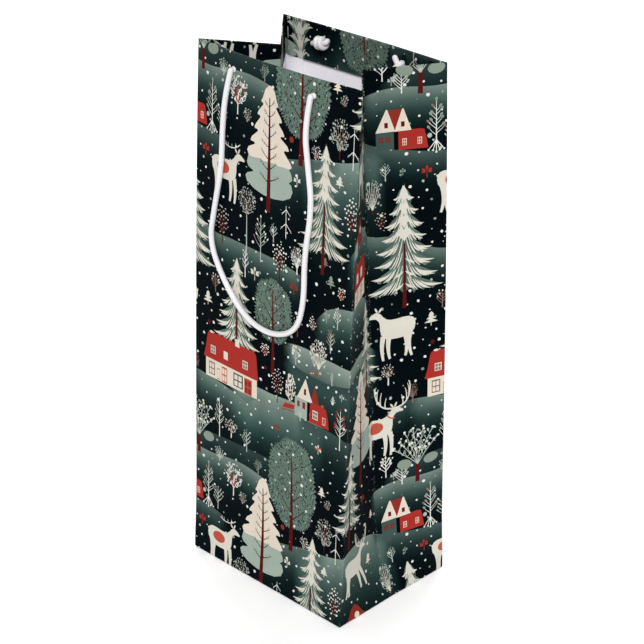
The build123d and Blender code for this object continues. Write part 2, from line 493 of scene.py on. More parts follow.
def ripple(s, u):
    """A very slight unevenness of the paper, a fraction of a millimetre, gone at the base."""
    lift = np.clip(u / 60.0, 0.0, 1.0)
    return lift * (0.16 * np.sin(s / 17.0 + u / 61.0) * np.sin(u / 43.0 + 1.1) + 0.09 * np.sin(s / 9.5 - u / 37.0))


def panel_point(x, u, end, bow, s):
    """A point of the front (end -1) or rear (end 1) panel, x from its middle and level u up it."""
    low, middle = np.maximum(u, 0.0), 1 - (x / HALF_WIDTH) ** 2
    out = bow * (low / SHEET) ** BOW_POWER * middle + ripple(s, u) * np.clip(middle, 0.0, 1.0)
    return np.stack([x, end * (half_depth(low) + out), height(u, PANEL_HEIGHTS)], axis=-1)


def gusset_point(t, u, side, end, s):
    """From the corner with the panel at t = 0 to the middle crease at t = 1."""
    low = np.maximum(u, 0.0)
    corner = np.stack([np.full_like(t, side * HALF_WIDTH), end * half_depth(low), height(u, PANEL_HEIGHTS)], axis=-1)
    crease = np.stack([side * (HALF_WIDTH - inset(low)), np.zeros_like(t), height(u, CREASE_HEIGHTS)], axis=-1)
    point = corner + (crease - corner) * t[..., None]
    point[..., 0] += side * np.clip(t * (1 - t) * 4, 0.0, 1.0) * ripple(s, u)
    return point


def facet_point(facet, s, u):
    """A point of a facet's printed side in millimetres, without its creases' rounding."""
    s, u = np.broadcast_arrays(np.asarray(s, float), np.asarray(u, float))
    start, end = CORNERS[facet]
    if facet == "front":
        return panel_point(s - HALF_WIDTH, u, -1, FRONT_BOW, s)
    if facet == "rear":
        return panel_point(HALF_WIDTH - (s - start), u, 1, REAR_BOW, s)
    from_start = facet in ("right_front", "left_rear")  # the others start at the middle crease
    t = (s - start if from_start else end - s) / (end - start)
    return gusset_point(t, u, 1 if facet.startswith("right") else -1, 1 if facet.endswith("rear") else -1, s)


def unit(vectors):
    """The vectors at length one."""
    return vectors / np.linalg.norm(vectors, axis=-1, keepdims=True)


def directions(facet, s, u):
    """Unit directions round the bag, up the sheet and into the bag."""
    step = 0.05
    around = unit(facet_point(facet, s + step, u) - facet_point(facet, s - step, u))
    up = unit(facet_point(facet, s, u + step) - facet_point(facet, s, u - step))
    return around, up, -unit(np.cross(around, up))


def stack_at(facet, s):
    """Thickness of the folded top edge at a place round the bag."""
    if facet not in ("front", "rear"):
        return np.full_like(s, THIN_STACK)
    start, end = CORNERS[facet]
    edge = np.minimum(s - start, end - s)
    share = np.clip((edge - 1.2) / 3.4, 0.0, 1.0)
    return THIN_STACK + (FULL_STACK - THIN_STACK) * share * share * (3 - 2 * share)


def profile(facet, s, w):
    """Level up the sheet and depth into the bag, where the sheet folds over its own top edge."""
    radius = stack_at(facet, s) / 2
    start = SHEET - radius
    angle = np.clip((w - start) / radius, 0.0, math.pi)
    down = np.maximum(w - start - math.pi * radius, 0.0)
    level = np.where(w <= start, w, start + radius * np.sin(angle) - down)
    return level, np.where(w <= start, 0.0, radius * (1 - np.cos(angle)))


def crease_with(facet, edge, u):
    """The tangents before and after the crease at the facet's start (-1) or end (1)."""
    index = ROUND.index(facet)
    other = ROUND[(index + edge) % len(ROUND)]
    here = CORNERS[facet][0 if edge < 0 else 1]
    there = CORNERS[other][1 if edge < 0 else 0]
    mine, its = directions(facet, np.full_like(u, here), u)[0], directions(other, np.full_like(u, there), u)[0]
    return (its, mine) if edge < 0 else (mine, its)


def skin(facet, s, w, depth):
    """The point of the sheet's surface at (s, w), depth millimetres into the paper from its printed side."""
    s, w = np.broadcast_arrays(np.asarray(s, float), np.asarray(w, float))
    level, fold_depth = profile(facet, s, w)
    radius = stack_at(facet, s) / 2
    turned = np.clip((w - (SHEET - radius)) / radius, 0.0, math.pi)
    # past the fold the paper's own thickness points back towards the panel
    level = level + np.where(turned > 0, -depth * np.sin(turned), 0.0)
    inward = fold_depth + depth * np.cos(turned)
    start, end = CORNERS[facet]
    place = s.copy()
    bend = np.zeros(s.shape + (3,))
    for edge, corner in ((-1, start), (1, end)):
        before, after = crease_with(facet, edge, level)
        cosine = np.clip(np.sum(before * after, axis=-1), -1.0, 1.0)
        outward_fold = np.sign(np.cross(before, after)[..., 2])
        shift = inward * np.tan(np.arccos(cosine) / 2) * outward_fold
        away = np.abs(s - corner)
        place = place - edge * shift * np.clip(1 - away / CREASE_REACH, 0.0, 1.0)
        soft = np.clip(1 - inward / PAPER, 0.0, 1.0) ** 2
        share = np.clip(1 - away / CREASE_RADIUS, 0.0, 1.0) ** 2
        bend += (CREASE_RADIUS / 4 * share * soft)[..., None] * (after - before)
    _, up, into = directions(facet, place, level)
    lift = inward * np.clip(1 - level / BASE_LIFT, 0.0, 1.0)
    point = facet_point(facet, place, level + lift) + inward[..., None] * into + bend
    low = np.clip(1 - level / BASE_RADIUS, 0.0, 1.0) ** 2 * (inward <= 0)
    flat = into.copy()
    flat[..., 2] = 0.0
    point += (BASE_RADIUS / 4 * low)[..., None] * (unit(flat) + up)
    return point


def base_skin(flap, s, w, depth):
    """The same for a base flap: w runs from 0 at the base fold to minus its reach, flat under the bag."""
    facet, layer = flap
    s, w = np.broadcast_arrays(np.asarray(s, float), np.asarray(w, float))
    along = -w
    side = (-1, 0, 0) if facet.startswith("right") else (1, 0, 0)
    inward = np.array({"front": (0, 1, 0), "rear": (0, -1, 0)}.get(facet, side), float)
    soft = BASE_RADIUS / 4 * np.clip(1 - along / BASE_RADIUS, 0.0, 1.0) ** 2 * (depth <= 0)
    point = facet_point(facet, s, np.zeros_like(s)) + (along + soft)[..., None] * inward
    point[..., 2] = layer * (PAPER + GLUE) * np.clip(along / 3.0, 0.0, 1.0) + depth + soft
    return point


# ---------------------------------------------------------------- the printed pattern
# Each drawing below yields (outline, tone) pairs from the back to the front, in sheet millimetres.
# rng is the drawing's own random numbers, x its middle or left side, base or foot where it stands.

TILE_AROUND = np.array((206.5, 0.0))  # the pattern repeats by these two steps
TILE_UP = np.array((2.5, 254.5))

NIGHT = (0, 6, 11)
CREAM, BONE, SNOW, FROST = (223, 212, 196), (216, 213, 200), (226, 227, 220), (176, 186, 176)
SAGE, SAGE_DARK, SAGE_LIGHT, MINT = (98, 117, 106), (24, 42, 42), (134, 148, 136), (160, 174, 163)
PINE, PINE_DARK = (92, 108, 97), (62, 80, 74)
RED, BRICK, RUST, WINE, BARK = (166, 49, 42), (138, 48, 38), (184, 84, 64), (84, 20, 20), (70, 24, 22)
TAUPE, GREY_WALL, PALE_WALL = (128, 104, 96), (66, 84, 79), (160, 168, 158)


def ellipse(x, y, rx, ry, count=8, turn=0.0):
    """An ellipse turned by an angle, as a ring of count points."""
    angle = np.linspace(0.0, math.tau, count, endpoint=False)
    px, py = rx * np.cos(angle), ry * np.sin(angle)
    return np.c_[x + px * math.cos(turn) - py * math.sin(turn), y + px * math.sin(turn) + py * math.cos(turn)]


def arc(a, b, sag, count=6):
    """A curve from a to b whose middle is moved by sag."""
    a, b, sag = np.array(a, float), np.array(b, float), np.array(sag, float)
    t = np.linspace(0.0, 1.0, count)[:, None]
    return a + (b - a) * t + 4 * sag * t * (1 - t)


def ribbon(line, width_from, width_to):
    """A stroke along a line, tapering from one width to the other."""
    line = np.asarray(line, float)
    ahead = np.gradient(line, axis=0)
    side = np.c_[-ahead[:, 1], ahead[:, 0]] / np.maximum(np.hypot(ahead[:, 0], ahead[:, 1]), 1e-6)[:, None]
    half = np.linspace(width_from, width_to, len(line))[:, None] / 2
    return np.r_[line - side * half, (line + side * half)[::-1]]


def crescent(a, b, upper, lower, count=6):
    """A leaf shape from a to b between two sags."""
    return np.r_[arc(a, b, lower, count), arc(a, b, upper, count)[-2:0:-1]]


def box(x0, y0, x1, y1):
    return np.array([(x0, y0), (x1, y0), (x1, y1), (x0, y1)], float)


def spread(x, y, wide, tall, points):
    """Points given as shares of a width and a height from (x, y)."""
    return np.array(points, float) * (wide, tall) + (x, y)


def shoot(rng, at, side, across, up, width, end_width=0.12):
    """A short straight twig, its reach drawn between the limits across and up."""
    return ribbon([at, at + (side * rng.uniform(*across), rng.uniform(*up))], width, end_width)


def snowy_pine(rng, x, base, top, half, foot):
    """A fir with drooping snow-laden boughs over a grey-green body."""
    height = top - base
    tiers = max(6, round(height / 8.0))
    gap = height / tiers
    thick = 0.5 + 0.03 * half  # of the snow
    for tier in range(tiers):
        low = base + gap * tier
        share = 1 - tier / tiers
        reach = half * share**0.8 * rng.uniform(0.92, 1.04) + 1.0
        rise = min(1.7, (top - low) / gap)
        for side in (-1, 1):
            skirt = [(0, rise), (0.42, 0.86), (0.96, 0.12)]
            for f in (0.875, 0.625, 0.375, 0.125):
                skirt += [(f + 0.04, 0.32 - 0.1 * f), (f - 0.13, -rng.uniform(0.12, 0.3))]
            yield spread(x, low, side * reach, gap, skirt + [(0, 0.1)]), PINE if rng.random() < 0.7 else SAGE
            for shadow in range(3):
                f = (shadow + rng.uniform(0.2, 0.8)) / 3
                ends = [(0.12 + 0.4 * f, 0.85 - 0.45 * f), (0.4 + 0.4 * f, 0.3 - 0.45 * f)]
                ends = spread(x, low, side * reach, gap, ends)
                yield crescent(*ends, (side * 0.2, 0.15), (-side * 0.3, -0.35)), PINE_DARK
            # the first bough of a tier hangs from the stem, the last reaches the tip
            boughs = max(3, round(reach / 3.6) + 1)
            for bough in range(boughs):
                f = (bough + rng.uniform(0.25, 0.75)) / boughs
                start = (0.5 * f, (1.5 - 1.02 * f) * rng.uniform(0.92, 1.04))
                end = (0.2 + 0.8 * f, 0.26 * f - 0.2 + rng.uniform(-0.1, 0.1))
                sag, snow = 0.1 * gap, thick * (0.92 - 0.3 * share) * rng.uniform(0.8, 1.2)
                ends = spread(x, low, side * reach, gap, [start, end])
                yield crescent(*ends, (-side * 0.2, 0.25 * thick - sag), (-side * 0.55, -sag - snow), 7), BONE
            start, edge = (x + side * reach * 0.42, low + 0.5 * gap), x + side * (reach + 0.9)
            yield crescent(start, (edge, low + gap * rng.uniform(0.12, 0.26)), (0, -0.35), (0, -0.5 - thick), 7), BONE
        if share < 0.62:
            wide = 0.46 * reach * rng.uniform(0.85, 1.1)
            cape = [(0, rise + 0.4 / gap), (0.6, 0.8), (1, 0.22), (0.5, 0.42)]
            cape += [(0.1 / wide, -0.08), (-0.5, 0.4), (-1, 0.18), (-0.6, 0.8)]
            yield spread(x, low, wide, gap, cape), BONE
    tip = [(0.35 / half, 1.6 / gap), (-0.45 / half, 1.5 / gap)]
    yield spread(x, top, half, gap, [(-0.14, -0.75), (0.16, -0.85), (0.1, -0.3), *tip, (-0.09, -0.3)]), BONE
    yield ribbon(arc((x + 0.1, base + 0.47 * height), (x, base + 0.4 * gap), (0.15, 0)), 0.9, 1.9), BARK
    yield ribbon(arc((x, base + 0.7 * gap), (x - 0.1, foot), (0.1, 0)), 1.8, 2.6), WINE
    for tier, side in ((0, -1), (0, 1), (1, -1), (1, 1), (2, 1)):
        low = base + gap * (tier + 0.3)
        end = (x + side * half * 0.3, low - 1.3)
        yield crescent((x + side * 0.5, low + 2.4), end, (side * 0.2, 0.2), (-side * 0.5, -thick)), BONE


def cream_pine(rng, x, base, top, half, foot):
    """A fir with a cream crown over a mint skirt, its stem and twigs drawn in front."""
    height = top - base
    line = base + 0.315 * height  # where the crown meets the skirt
    sides = []
    for side in (-1, 1):
        ring = [(0.9, top - 0.2), (0.19 * half, top - 0.045 * height)]
        for f in (0.2, 0.4, 0.6, 0.8, 1.0):
            y = top - (top - line) * (0.06 + 0.9 * f * rng.uniform(0.97, 1.03))
            reach = half * (0.2 + 0.72 * f) * rng.uniform(0.94, 1.06)
            ring += [(reach - 0.06 * half, y + 2.6), (reach, y + 0.4), (reach - 0.02 * half, y - 0.3)]
            if f < 1:
                ring += [(0.79 * reach, y - 0.5), (0.76 * reach, y - 1.6)]
        sides.append(spread(x, 0, side, 1, ring))
    hem = [(-0.93, 5.2), (-0.62, 2), (-0.2, 0.2), (0.2, 0), (0.62, 1.3), (0.9, 4.2), (0.99, 8.2)]
    left = [(-0.86, 1), (-0.93, -4.2), (-0.86, -6.6), (-0.63, -8.6), (-0.9, -10.6), (-0.99, -12.6)]
    right = [(0.93, -9), (0.83, -8.2), (0.97, -5.8), (0.93, -2.6), (0.8, 1)]
    skirt = [spread(x, y, half, 1, points) for y, points in ((line, left), (base, hem), (line, right))]
    yield np.concatenate(skirt), MINT
    wave = [(x + f * half * 0.84, line + 0.35 * math.sin(9 * f) + 0.2) for f in np.linspace(1, -1, 9)]
    yield np.r_[sides[0][::-1], sides[1], wave], CREAM
    yield ribbon(arc((x - 0.2, top - 0.11 * height), (x, foot), (0.35, 0), 9), 0.7, 3.5), WINE
    for f in np.linspace(0.16, 0.82, 8):
        for side in (-1, 1):
            y = top - f * height + rng.uniform(-1.6, 1.6)
            long = half * (0.16 + 0.36 * f) * rng.uniform(0.75, 1.1)
            twig = arc((x, y - 2.2), (x + side * long, y + long * rng.uniform(0.25, 0.6)), (side * 0.2, -0.4), 5)
            yield ribbon(twig, 0.4 + 0.55 * f, 0.16), BARK
            for at in twig[2:4]:
                yield shoot(rng, at, side, (-0.2, 0.9), (1.2, 2.4), 0.34), BARK
                yield shoot(rng, at, side, (0.9, 1.9), (-0.5, 0.5), 0.3, 0.1), BARK


def round_tree(rng, x, base, top, half, foot):
    """A broad egg-shaped crown with a ragged leafy edge and a dark branching stem."""
    tall = top - base
    level = base + 0.45 * tall
    ring, count = [], 150
    for i in range(count):
        angle = math.tau * i / count
        up, across = math.sin(angle), math.cos(angle)
        reach_up = (top - level) if up > 0 else (level - base)
        flat = 1 - 0.16 * max(up, 0.0) ** 2
        sway = 1 + 0.03 * math.sin(3 * angle + x) + 0.025 * math.sin(7 * angle + base)
        lobe = (1.0 if i % 2 else -1.0) * rng.uniform(0.25, 1.45)
        ring.append((
            x + (half * flat * sway + lobe) * math.copysign(abs(across) ** 0.86, across),
            level + (reach_up * sway + lobe) * math.copysign(abs(up) ** 0.86, up),
        ))
    yield np.array(ring), SAGE
    for _ in range(int(half * tall * 0.42)):
        angle, far = rng.uniform(0, math.tau), rng.random() ** 0.38 * 0.99
        px = x + far * half * 0.98 * math.cos(angle)
        py = level + far * ((top - level) if math.sin(angle) > 0 else (level - base)) * math.sin(angle)
        shade = SAGE_DARK if rng.random() < 0.86 else SAGE_LIGHT
        yield ellipse(px, py, rng.uniform(0.5, 1.0), rng.uniform(0.26, 0.46), 5, rng.uniform(0.6, 2.5)), shade
    crown = top - 0.16 * tall
    yield ribbon(arc((x - 0.6, crown), (x, foot), (0.5, 0), 9), 0.5, 0.15 * half + 0.5), WINE
    side = 1
    for f, long in (
        (0.1, 0.3), (0.2, 0.36), (0.33, 0.42), (0.42, 0.5), (0.56, 0.5), (0.64, 0.62), (0.8, 0.66), (0.9, 0.72),
    ):
        side = -side
        y = crown - f * (crown - base) * 0.95 - 2.5
        far = half * long * rng.uniform(0.85, 1.1)
        bough = arc((x, y), (x + side * far, y + far * rng.uniform(0.95, 1.25)), (side * 0.1, -0.35), 7)
        yield ribbon(bough, 0.35 + 0.62 * f, 0.2), BARK
        for g in (2, 4, 5):
            yield shoot(rng, bough[g], side, (-0.5, 0.4), (1.6, 3.2), 0.32), BARK
        yield shoot(rng, bough[4], side, (1.2, 2.2), (0.4, 1.2), 0.3), BARK


def fluffy(rng, x, y, rx, ry, foot, leaf=SNOW, stem=FROST, leaf_size=0.62, density=0.5, twig=None):
    """A round-headed tree drawn with many small pale dashes."""
    root = (x + rng.uniform(-0.3, 0.3), y - ry * 1.02)
    yield ribbon(arc((root[0], y), (root[0], foot), (0.1, 0), 4), 0.5, 0.9), stem
    for angle in np.linspace(-1.05, 1.05, 7):
        end = (x + rx * 0.85 * math.sin(angle), y - ry * 0.2 + ry * 0.95 * math.cos(angle))
        yield ribbon(arc(root, end, (rx * 0.12 * math.sin(angle), 0), 4), 0.42, 0.18), twig or stem
    for _ in range(max(10, int(rx * ry * 3.14 * density))):
        angle, far = rng.uniform(0, math.tau), rng.random() ** 0.42
        px, py = x + far * rx * math.cos(angle), y + far * ry * math.sin(angle)
        turn = math.atan2(py - root[1], px - root[0])
        yield ellipse(px, py, leaf_size * rng.uniform(0.7, 1.25), leaf_size * 0.5, 5, turn), leaf


def dotted(rng, x, y, rx, ry, foot, leaf=SNOW, stem=TAUPE, dot=0.6, count=22):
    """A light tree drawn with round dots at the ends of its twigs."""
    root = (x, y - ry * 0.9)
    if foot < y - ry:
        yield ribbon([(x, y), (x, foot)], 0.45, 0.75), stem
    for i in range(count):
        angle, far = math.tau * i * 0.382, math.sqrt((i + 0.7) / count)
        end = (x + far * rx * math.cos(angle), y + far * ry * math.sin(angle))
        if end[1] > root[1] + 0.5:
            yield ribbon(arc(root, end, (0.2 * (end[0] - x), 0), 3), 0.3, 0.16), stem
        size = dot * rng.uniform(0.7, 1.2)
        yield ellipse(*end, size, size * 0.92, 6, rng.uniform(0, 1)), leaf


def stick_pine(rng, x, foot, top, reach):
    """A bare white stem with two pairs of drooping branches."""
    yield ribbon([(x, top), (x + 0.1, foot)], 0.3, 0.55), SNOW
    for f, size in ((0.12, 0.75), (0.55, 1.0)):
        y = top - f * (top - foot)
        for side in (-1, 1):
            end = (x + side * reach * size, y - reach * size * 1.05 + rng.uniform(-0.3, 0.3))
            branch = arc((x, y), end, (0.1 * side, 0.1), 4)
            yield ribbon(branch, 0.6, 0.22), SNOW
            yield ribbon([branch[2], branch[2] + (side * 1.2, -0.1)], 0.3, 0.12), SNOW


def leafy(rng, x, foot, top, wide, stem=SNOW, leaf=FROST, leaf_size=1.0, roots=False):
    """A thin tree with slanting side twigs that end in single leaves."""
    crown = foot + 0.36 * (top - foot)
    yield ribbon([(x, top - 1), (x, foot + (5 if roots else 0))], 0.3, 0.75), stem
    for number, f in enumerate(np.linspace(0.0, 0.9, 6)):
        side = -1 if number % 2 else 1
        for way, drop in ((side, 0.0), (-side, -0.9)):
            y = crown + f * (top - crown) * 0.78 + drop
            long = wide * (1 - 0.5 * f) * rng.uniform(0.7, 1.08)
            end = (x + way * long, y + long * rng.uniform(0.75, 1.15))
            yield ribbon([(x, y - 0.4), (x + way * long * 0.55, y + long * 0.42), end], 0.4, 0.2), stem
            tone = leaf if rng.random() < 0.8 else TAUPE
            size = leaf_size * rng.uniform(0.8, 1.1)
            yield ellipse(end[0], end[1] + 0.3, size, leaf_size * 0.62, 7, 1.57 - way * 0.7), tone
    yield ellipse(x, top, leaf_size * 0.65, leaf_size, 7), leaf
    if roots:
        for side, long in ((-1, 1.0), (-0.42, 0.75), (0.42, 0.75), (1, 1.0)):
            end = (x + side * 4.6, foot + (1 - long) * 2.0 + 1.6 * abs(side))
            yield ribbon([(x, foot + 7.5), end], 0.6, 0.42), stem
            yield ellipse(*end, 0.75, 0.5, 6, side), stem
        yield ribbon([(x, foot + 7), (x, foot)], 0.6, 0.5), stem
        yield ellipse(x, foot, 0.6, 0.7, 6), stem


def sapling(rng, x, y, size, tone=CREAM, other=None):
    """A stem with five plump leaves."""
    yield ribbon([(x, y + size * 0.4), (x, y - size)], 0.3, 0.45), tone
    for angle, far in ((90, 0.75), (35, 0.62), (145, 0.62), (0, 0.5), (180, 0.5)):
        a = math.radians(angle)
        leaf = other if other and angle in (35, 180) else tone
        px, py = x + far * size * math.cos(a), y + far * size * math.sin(a) * 0.9
        yield ellipse(px, py, size * 0.34, size * 0.2, 7, a), leaf


def mini_pine(rng, x, foot, size, tone=BONE):
    """Three small tiers on a stem."""
    yield ribbon([(x, foot), (x, foot + size)], 0.45, 0.4), tone
    for f, wide in ((0.34, 0.5), (0.6, 0.36), (0.84, 0.2)):
        tier = [(-wide, -0.06), (-0.1, -0.1), (wide, -0.04), (0.12, 0.17), (0, 0.26), (-0.12, 0.15)]
        yield spread(x, foot + f * size, size, size, tier), tone


def blob_tree(rng, x, foot, top):
    """A fan of pale boughs with many leaves, on a forked dark stem."""
    fork = foot + 13.0
    yield ribbon([(x, fork + 1), (x - 0.2, foot)], 2.1, 3.0), WINE
    for side in (-1, 1):
        yield ellipse(x + side * 9.0, fork + 1.6, 5.0, 3.4, 16, side * 0.2), SAGE_LIGHT
    for angle in (-52, -36, -21, -7, 9, 25, 42):
        a = math.radians(angle)
        long = (top - fork) * (1.0 if abs(angle) < 30 else 0.86)
        end = (x + long * math.sin(a) * 0.95, fork + long * math.cos(a))
        bough = arc((x, fork - 0.5), end, (-0.06 * long * math.sin(a), 0), 7)
        yield ribbon(bough, 0.5, 0.32), FROST
        for at in bough[2:6]:
            for side in (-1, 1):
                tip = at + (side * rng.uniform(1.2, 2.8), rng.uniform(1.6, 4.4))
                yield ribbon([at, tip], 0.38, 0.22), FROST
                tone = (SNOW, BONE, FROST, SAGE_LIGHT)[rng.randrange(4)]
                size = rng.uniform(0.6, 1.15)
                yield ellipse(*tip, size, size * 0.78, 7, rng.uniform(0, 3)), tone
        yield ellipse(*end, 0.9, 0.8, 7), SNOW


DEER_BODY = [
    (0.5, 23.6), (1.8, 25.6), (4.2, 26.6), (8, 26.7), (12, 26.2), (15.8, 26.2), (18.2, 26.9), (20.2, 28.6),
    (21.9, 30.9), (23.6, 32.2), (25.4, 32.3), (27.4, 31.3), (29.3, 30), (29.8, 29.2), (29.2, 28.5), (27, 28.5),
    (25, 28.2), (23.4, 26.6), (22.6, 24.2), (22.5, 20.6), (21.8, 17), (19.8, 14.6), (15.5, 13.4), (10, 13.3),
    (5.8, 13.9), (2.8, 15.2), (0.8, 18), (0.2, 21),
]


def deer(rng, x, foot, size, facing=1, saddle=None, antlers=0.0, collar=None, stride=0.0):
    """A standing deer, drawn facing right and turned round if facing is -1."""
    def put(points):
        return spread(x, foot, facing * size, size, points)

    for hip, hoof, bend in (
        ((3.4, 17.0), (2.6, 0.0), 1.3), ((6.6, 15.5), (6.6, 0.6), -0.9), ((17.0, 15.0), (16.6 + stride, 0.5), 0.8),
        ((20.6, 16.0), (20.8 + stride * 1.5, 0.0), 0.9),
    ):
        yield put(ribbon(arc(hip, hoof, (bend, 0), 7), 3.3, 1.5)), BONE
    yield put(DEER_BODY), BONE
    tail, ears = (0.7, 23.4, 1.3, 0.7, 7, 2.2), ((22.2, 33.6, 1.8, 0.62, 9, 2.2), (24.7, 33.9, 1.8, 0.62, 9, 1.15))
    for measures in (tail, *ears):
        yield put(ellipse(*measures)), BONE
    if saddle:
        yield put(ellipse(10.6, 20.6, 5.6, 3.9, 18) + rng.uniform(-0.1, 0.1)), saddle
    if collar:
        yield put(ribbon(arc((19.0, 27.8), (24.0, 25.0), (-0.4, -0.9), 6), 0.9, 0.9)), collar
    if antlers:
        for side, reach in ((-1, 12.5), (1, 9.5)):
            end = (24.0 + side * reach * antlers, 31.6 + 15.5 * antlers)
            beam = arc((24.0, 31.6), end, (side * 3.2 * antlers, -3.8 * antlers), 12)
            yield put(ribbon(beam, 1.2, 0.5)), BONE
            for g, tall in ((3, 6.5), (5, 8.5), (7, 8.0), (9, 5.5)):
                tine = arc(beam[g], beam[g] + (-side * 0.9, tall * antlers), (side * 0.5, 0), 5)
                yield put(ribbon(tine, 0.85, 0.35)), BONE


def windows(frame, pane, bars, *corners):
    """Windows alike, each from its lower left to its upper right corner, with one pane or four."""
    for x0, y0, x1, y1 in corners:
        yield box(x0, y0, x1, y1), frame
        wide, tall = x1 - x0, y1 - y0
        inset_x, inset_y = x0 + 0.1 * wide, y0 + 0.08 * tall
        if not bars:
            yield box(inset_x, inset_y, x1 - 0.1 * wide, y1 - 0.08 * tall), pane
            continue
        for i in (0, 1):
            for j in (0, 1):
                cx, cy = inset_x + i * wide * 0.43, inset_y + j * tall * 0.45
                yield box(cx, cy, cx + 0.34 * wide, cy + 0.36 * tall), pane


# A red roof over a cream wall with windows and doors
LONG_HOUSE = [
    (box(1.5, 0, 48, 13.5), CREAM),
    ([(0, 12.6), (48.7, 12.6), (49.1, 13.4), (48.2, 20), (47.4, 28.2), (46.4, 30.4), (44, 31.2), (24, 31.4), (5, 31.2),
      (3.6, 30.2), (2.8, 27.5), (1.3, 19), (-0.2, 13.6)], RED),
    (box(28.6, 29.2, 32.4, 33.6), CREAM),
    (ellipse(30.5, 33.6, 2.2, 0.8), BONE),
    (ellipse(6.8, 31.3, 1.7, 0.8), CREAM),
    *windows(CREAM, TAUPE, True, (6, 16.8, 10.5, 22.2), (35.3, 16.8, 39.8, 22.2)),
    *windows(CREAM, BONE, False, (18, 16.8, 21.8, 22.2)),
    *windows(TAUPE, CREAM, True, (4.2, 2, 9.8, 10.8)),
    *windows(RUST, CREAM, False, (11.8, 0.6, 14.6, 8.2)),
    *windows(RUST, CREAM, True, (16.2, 0.4, 21.2, 11)),
    *windows(PINE_DARK, CREAM, True, (27, 1.8, 35.6, 11)),
    *windows(RUST, BRICK, True, (36.8, 0.2, 43.6, 11)),
]
# A tall pale gable with a low red wing
GABLE_HOUSE = [
    ([(13, 13), (20, 13), (18.2, 19), (16.2, 24), (14.2, 18.5)], BRICK),
    (box(0, 0, 10.6, 13.4), PALE_WALL),
    (box(10.2, 0, 12.2, 12.4), NIGHT),
    ([(1.8, 13), (14.8, 12.6), (12, 18.5), (8.6, 27.2), (5.2, 20)], CREAM),
    ([(12, 0), (28.2, 0), (27.4, 6), (25.4, 12.8), (22, 13.6), (13, 13.2)], RED),
    (ellipse(22.6, 14, 1.1, 0.9), RUST),
    *windows(BRICK, WINE, False, (7.4, 16.2, 9.2, 20.2)),
    *windows(WINE, BRICK, False, (2, 7, 4, 10.6), (6.4, 6.8, 8.6, 11)),
    *windows(CREAM, TAUPE, True, (14.8, 3, 19, 8.8)),
    *windows(CREAM, RUST, False, (22.8, 2, 25.2, 6.8)),
]
# Two cream gables with a red valley between them, over a grey wall and a red wing
TWIN_GABLES = [
    (box(0, 0.8, 10.6, 11.6), GREY_WALL),
    (box(10.4, 0.4, 13.2, 11.8), NIGHT),
    ([(13, 0), (30.2, -0.3), (29.4, 5), (28, 11.4), (25.5, 12), (13, 11.8)], RED),
    ([(7, 24.6), (16, 24.6), (13, 12), (9, 12)], BRICK),
    ([(-0.2, 11.4), (11.2, 11.6), (6.9, 24.9), (6.1, 24.9)], CREAM),
    ([(10.8, 11.4), (20.6, 11.6), (16.2, 24.9), (15.4, 24.9)], CREAM),
    *windows(BRICK, WINE, False, (5, 14, 7.1, 17.2), (14.6, 14, 16.7, 17.2)),
    *windows(WINE, BRICK, False, (1.8, 5.4, 4.2, 8.4), (6, 5.4, 8.4, 8.4)),
    *windows(CREAM, RUST, True, (15.2, 2.6, 17.8, 6.8), (24, 2.6, 26.6, 6.8)),
]
# A red roof with two windows over a cream wall
BARN = [
    (box(2, 0, 31, 10.5), CREAM),
    ([(0, 9.8), (34, 9.8), (31, 25), (3, 25.4)], RED),
    *windows(CREAM, CREAM, False, (6, 13.5, 11.5, 19.5), (19, 13.5, 24.5, 19.5)),
    *windows(RUST, CREAM, True, (7, 1.2, 12, 8.6), (19, 1.2, 24, 8.6)),
]
# A red gable end and the end of a cream wall
CHAPEL = [
    ([(6, 0), (25, 0), (23.4, 6.5), (18.5, 14.6), (14.6, 17.6), (10.5, 14.6), (7.2, 7)], BRICK),
    ([(-2, -4), (9, -4), (8.4, 4.6), (-1, 5.4)], MINT),
    (ellipse(16, 9.4, 2.2, 2.4, 9), CREAM),
]
SLED = [
    ([(0, 0), (9.4, 1.6), (10.2, 4.8), (1.6, 3.6)], RED),
    (ribbon([(-0.8, -1.4), (9.8, 0.4)], 0.5, 0.4), BRICK),
    (ribbon([(-0.4, -0.2), (3, 5)], 0.5, 0.3), RUST),
]


def fixed(rng, x, y, parts):
    """A drawing without chance, moved to its place."""
    for points, tone in parts:
        yield spread(x, y, 1, 1, points), tone


def antler_twig(rng, x, y, wide):
    """A curved bare twig with short prongs."""
    bow = arc((x - wide / 2, y + 1.4), (x + wide / 2, y + 3.4), (0, -2.6), 9)
    yield ribbon(bow, 0.5, 0.6), SNOW
    for g in (1, 2, 4, 6):
        yield ribbon([bow[g], bow[g] + (rng.uniform(-0.7, 0.2), 2.4)], 0.42, 0.2), SNOW


def berry(rng, x, y, size, tone):
    """One round berry."""
    yield ellipse(x, y, size, size * 1.1), tone


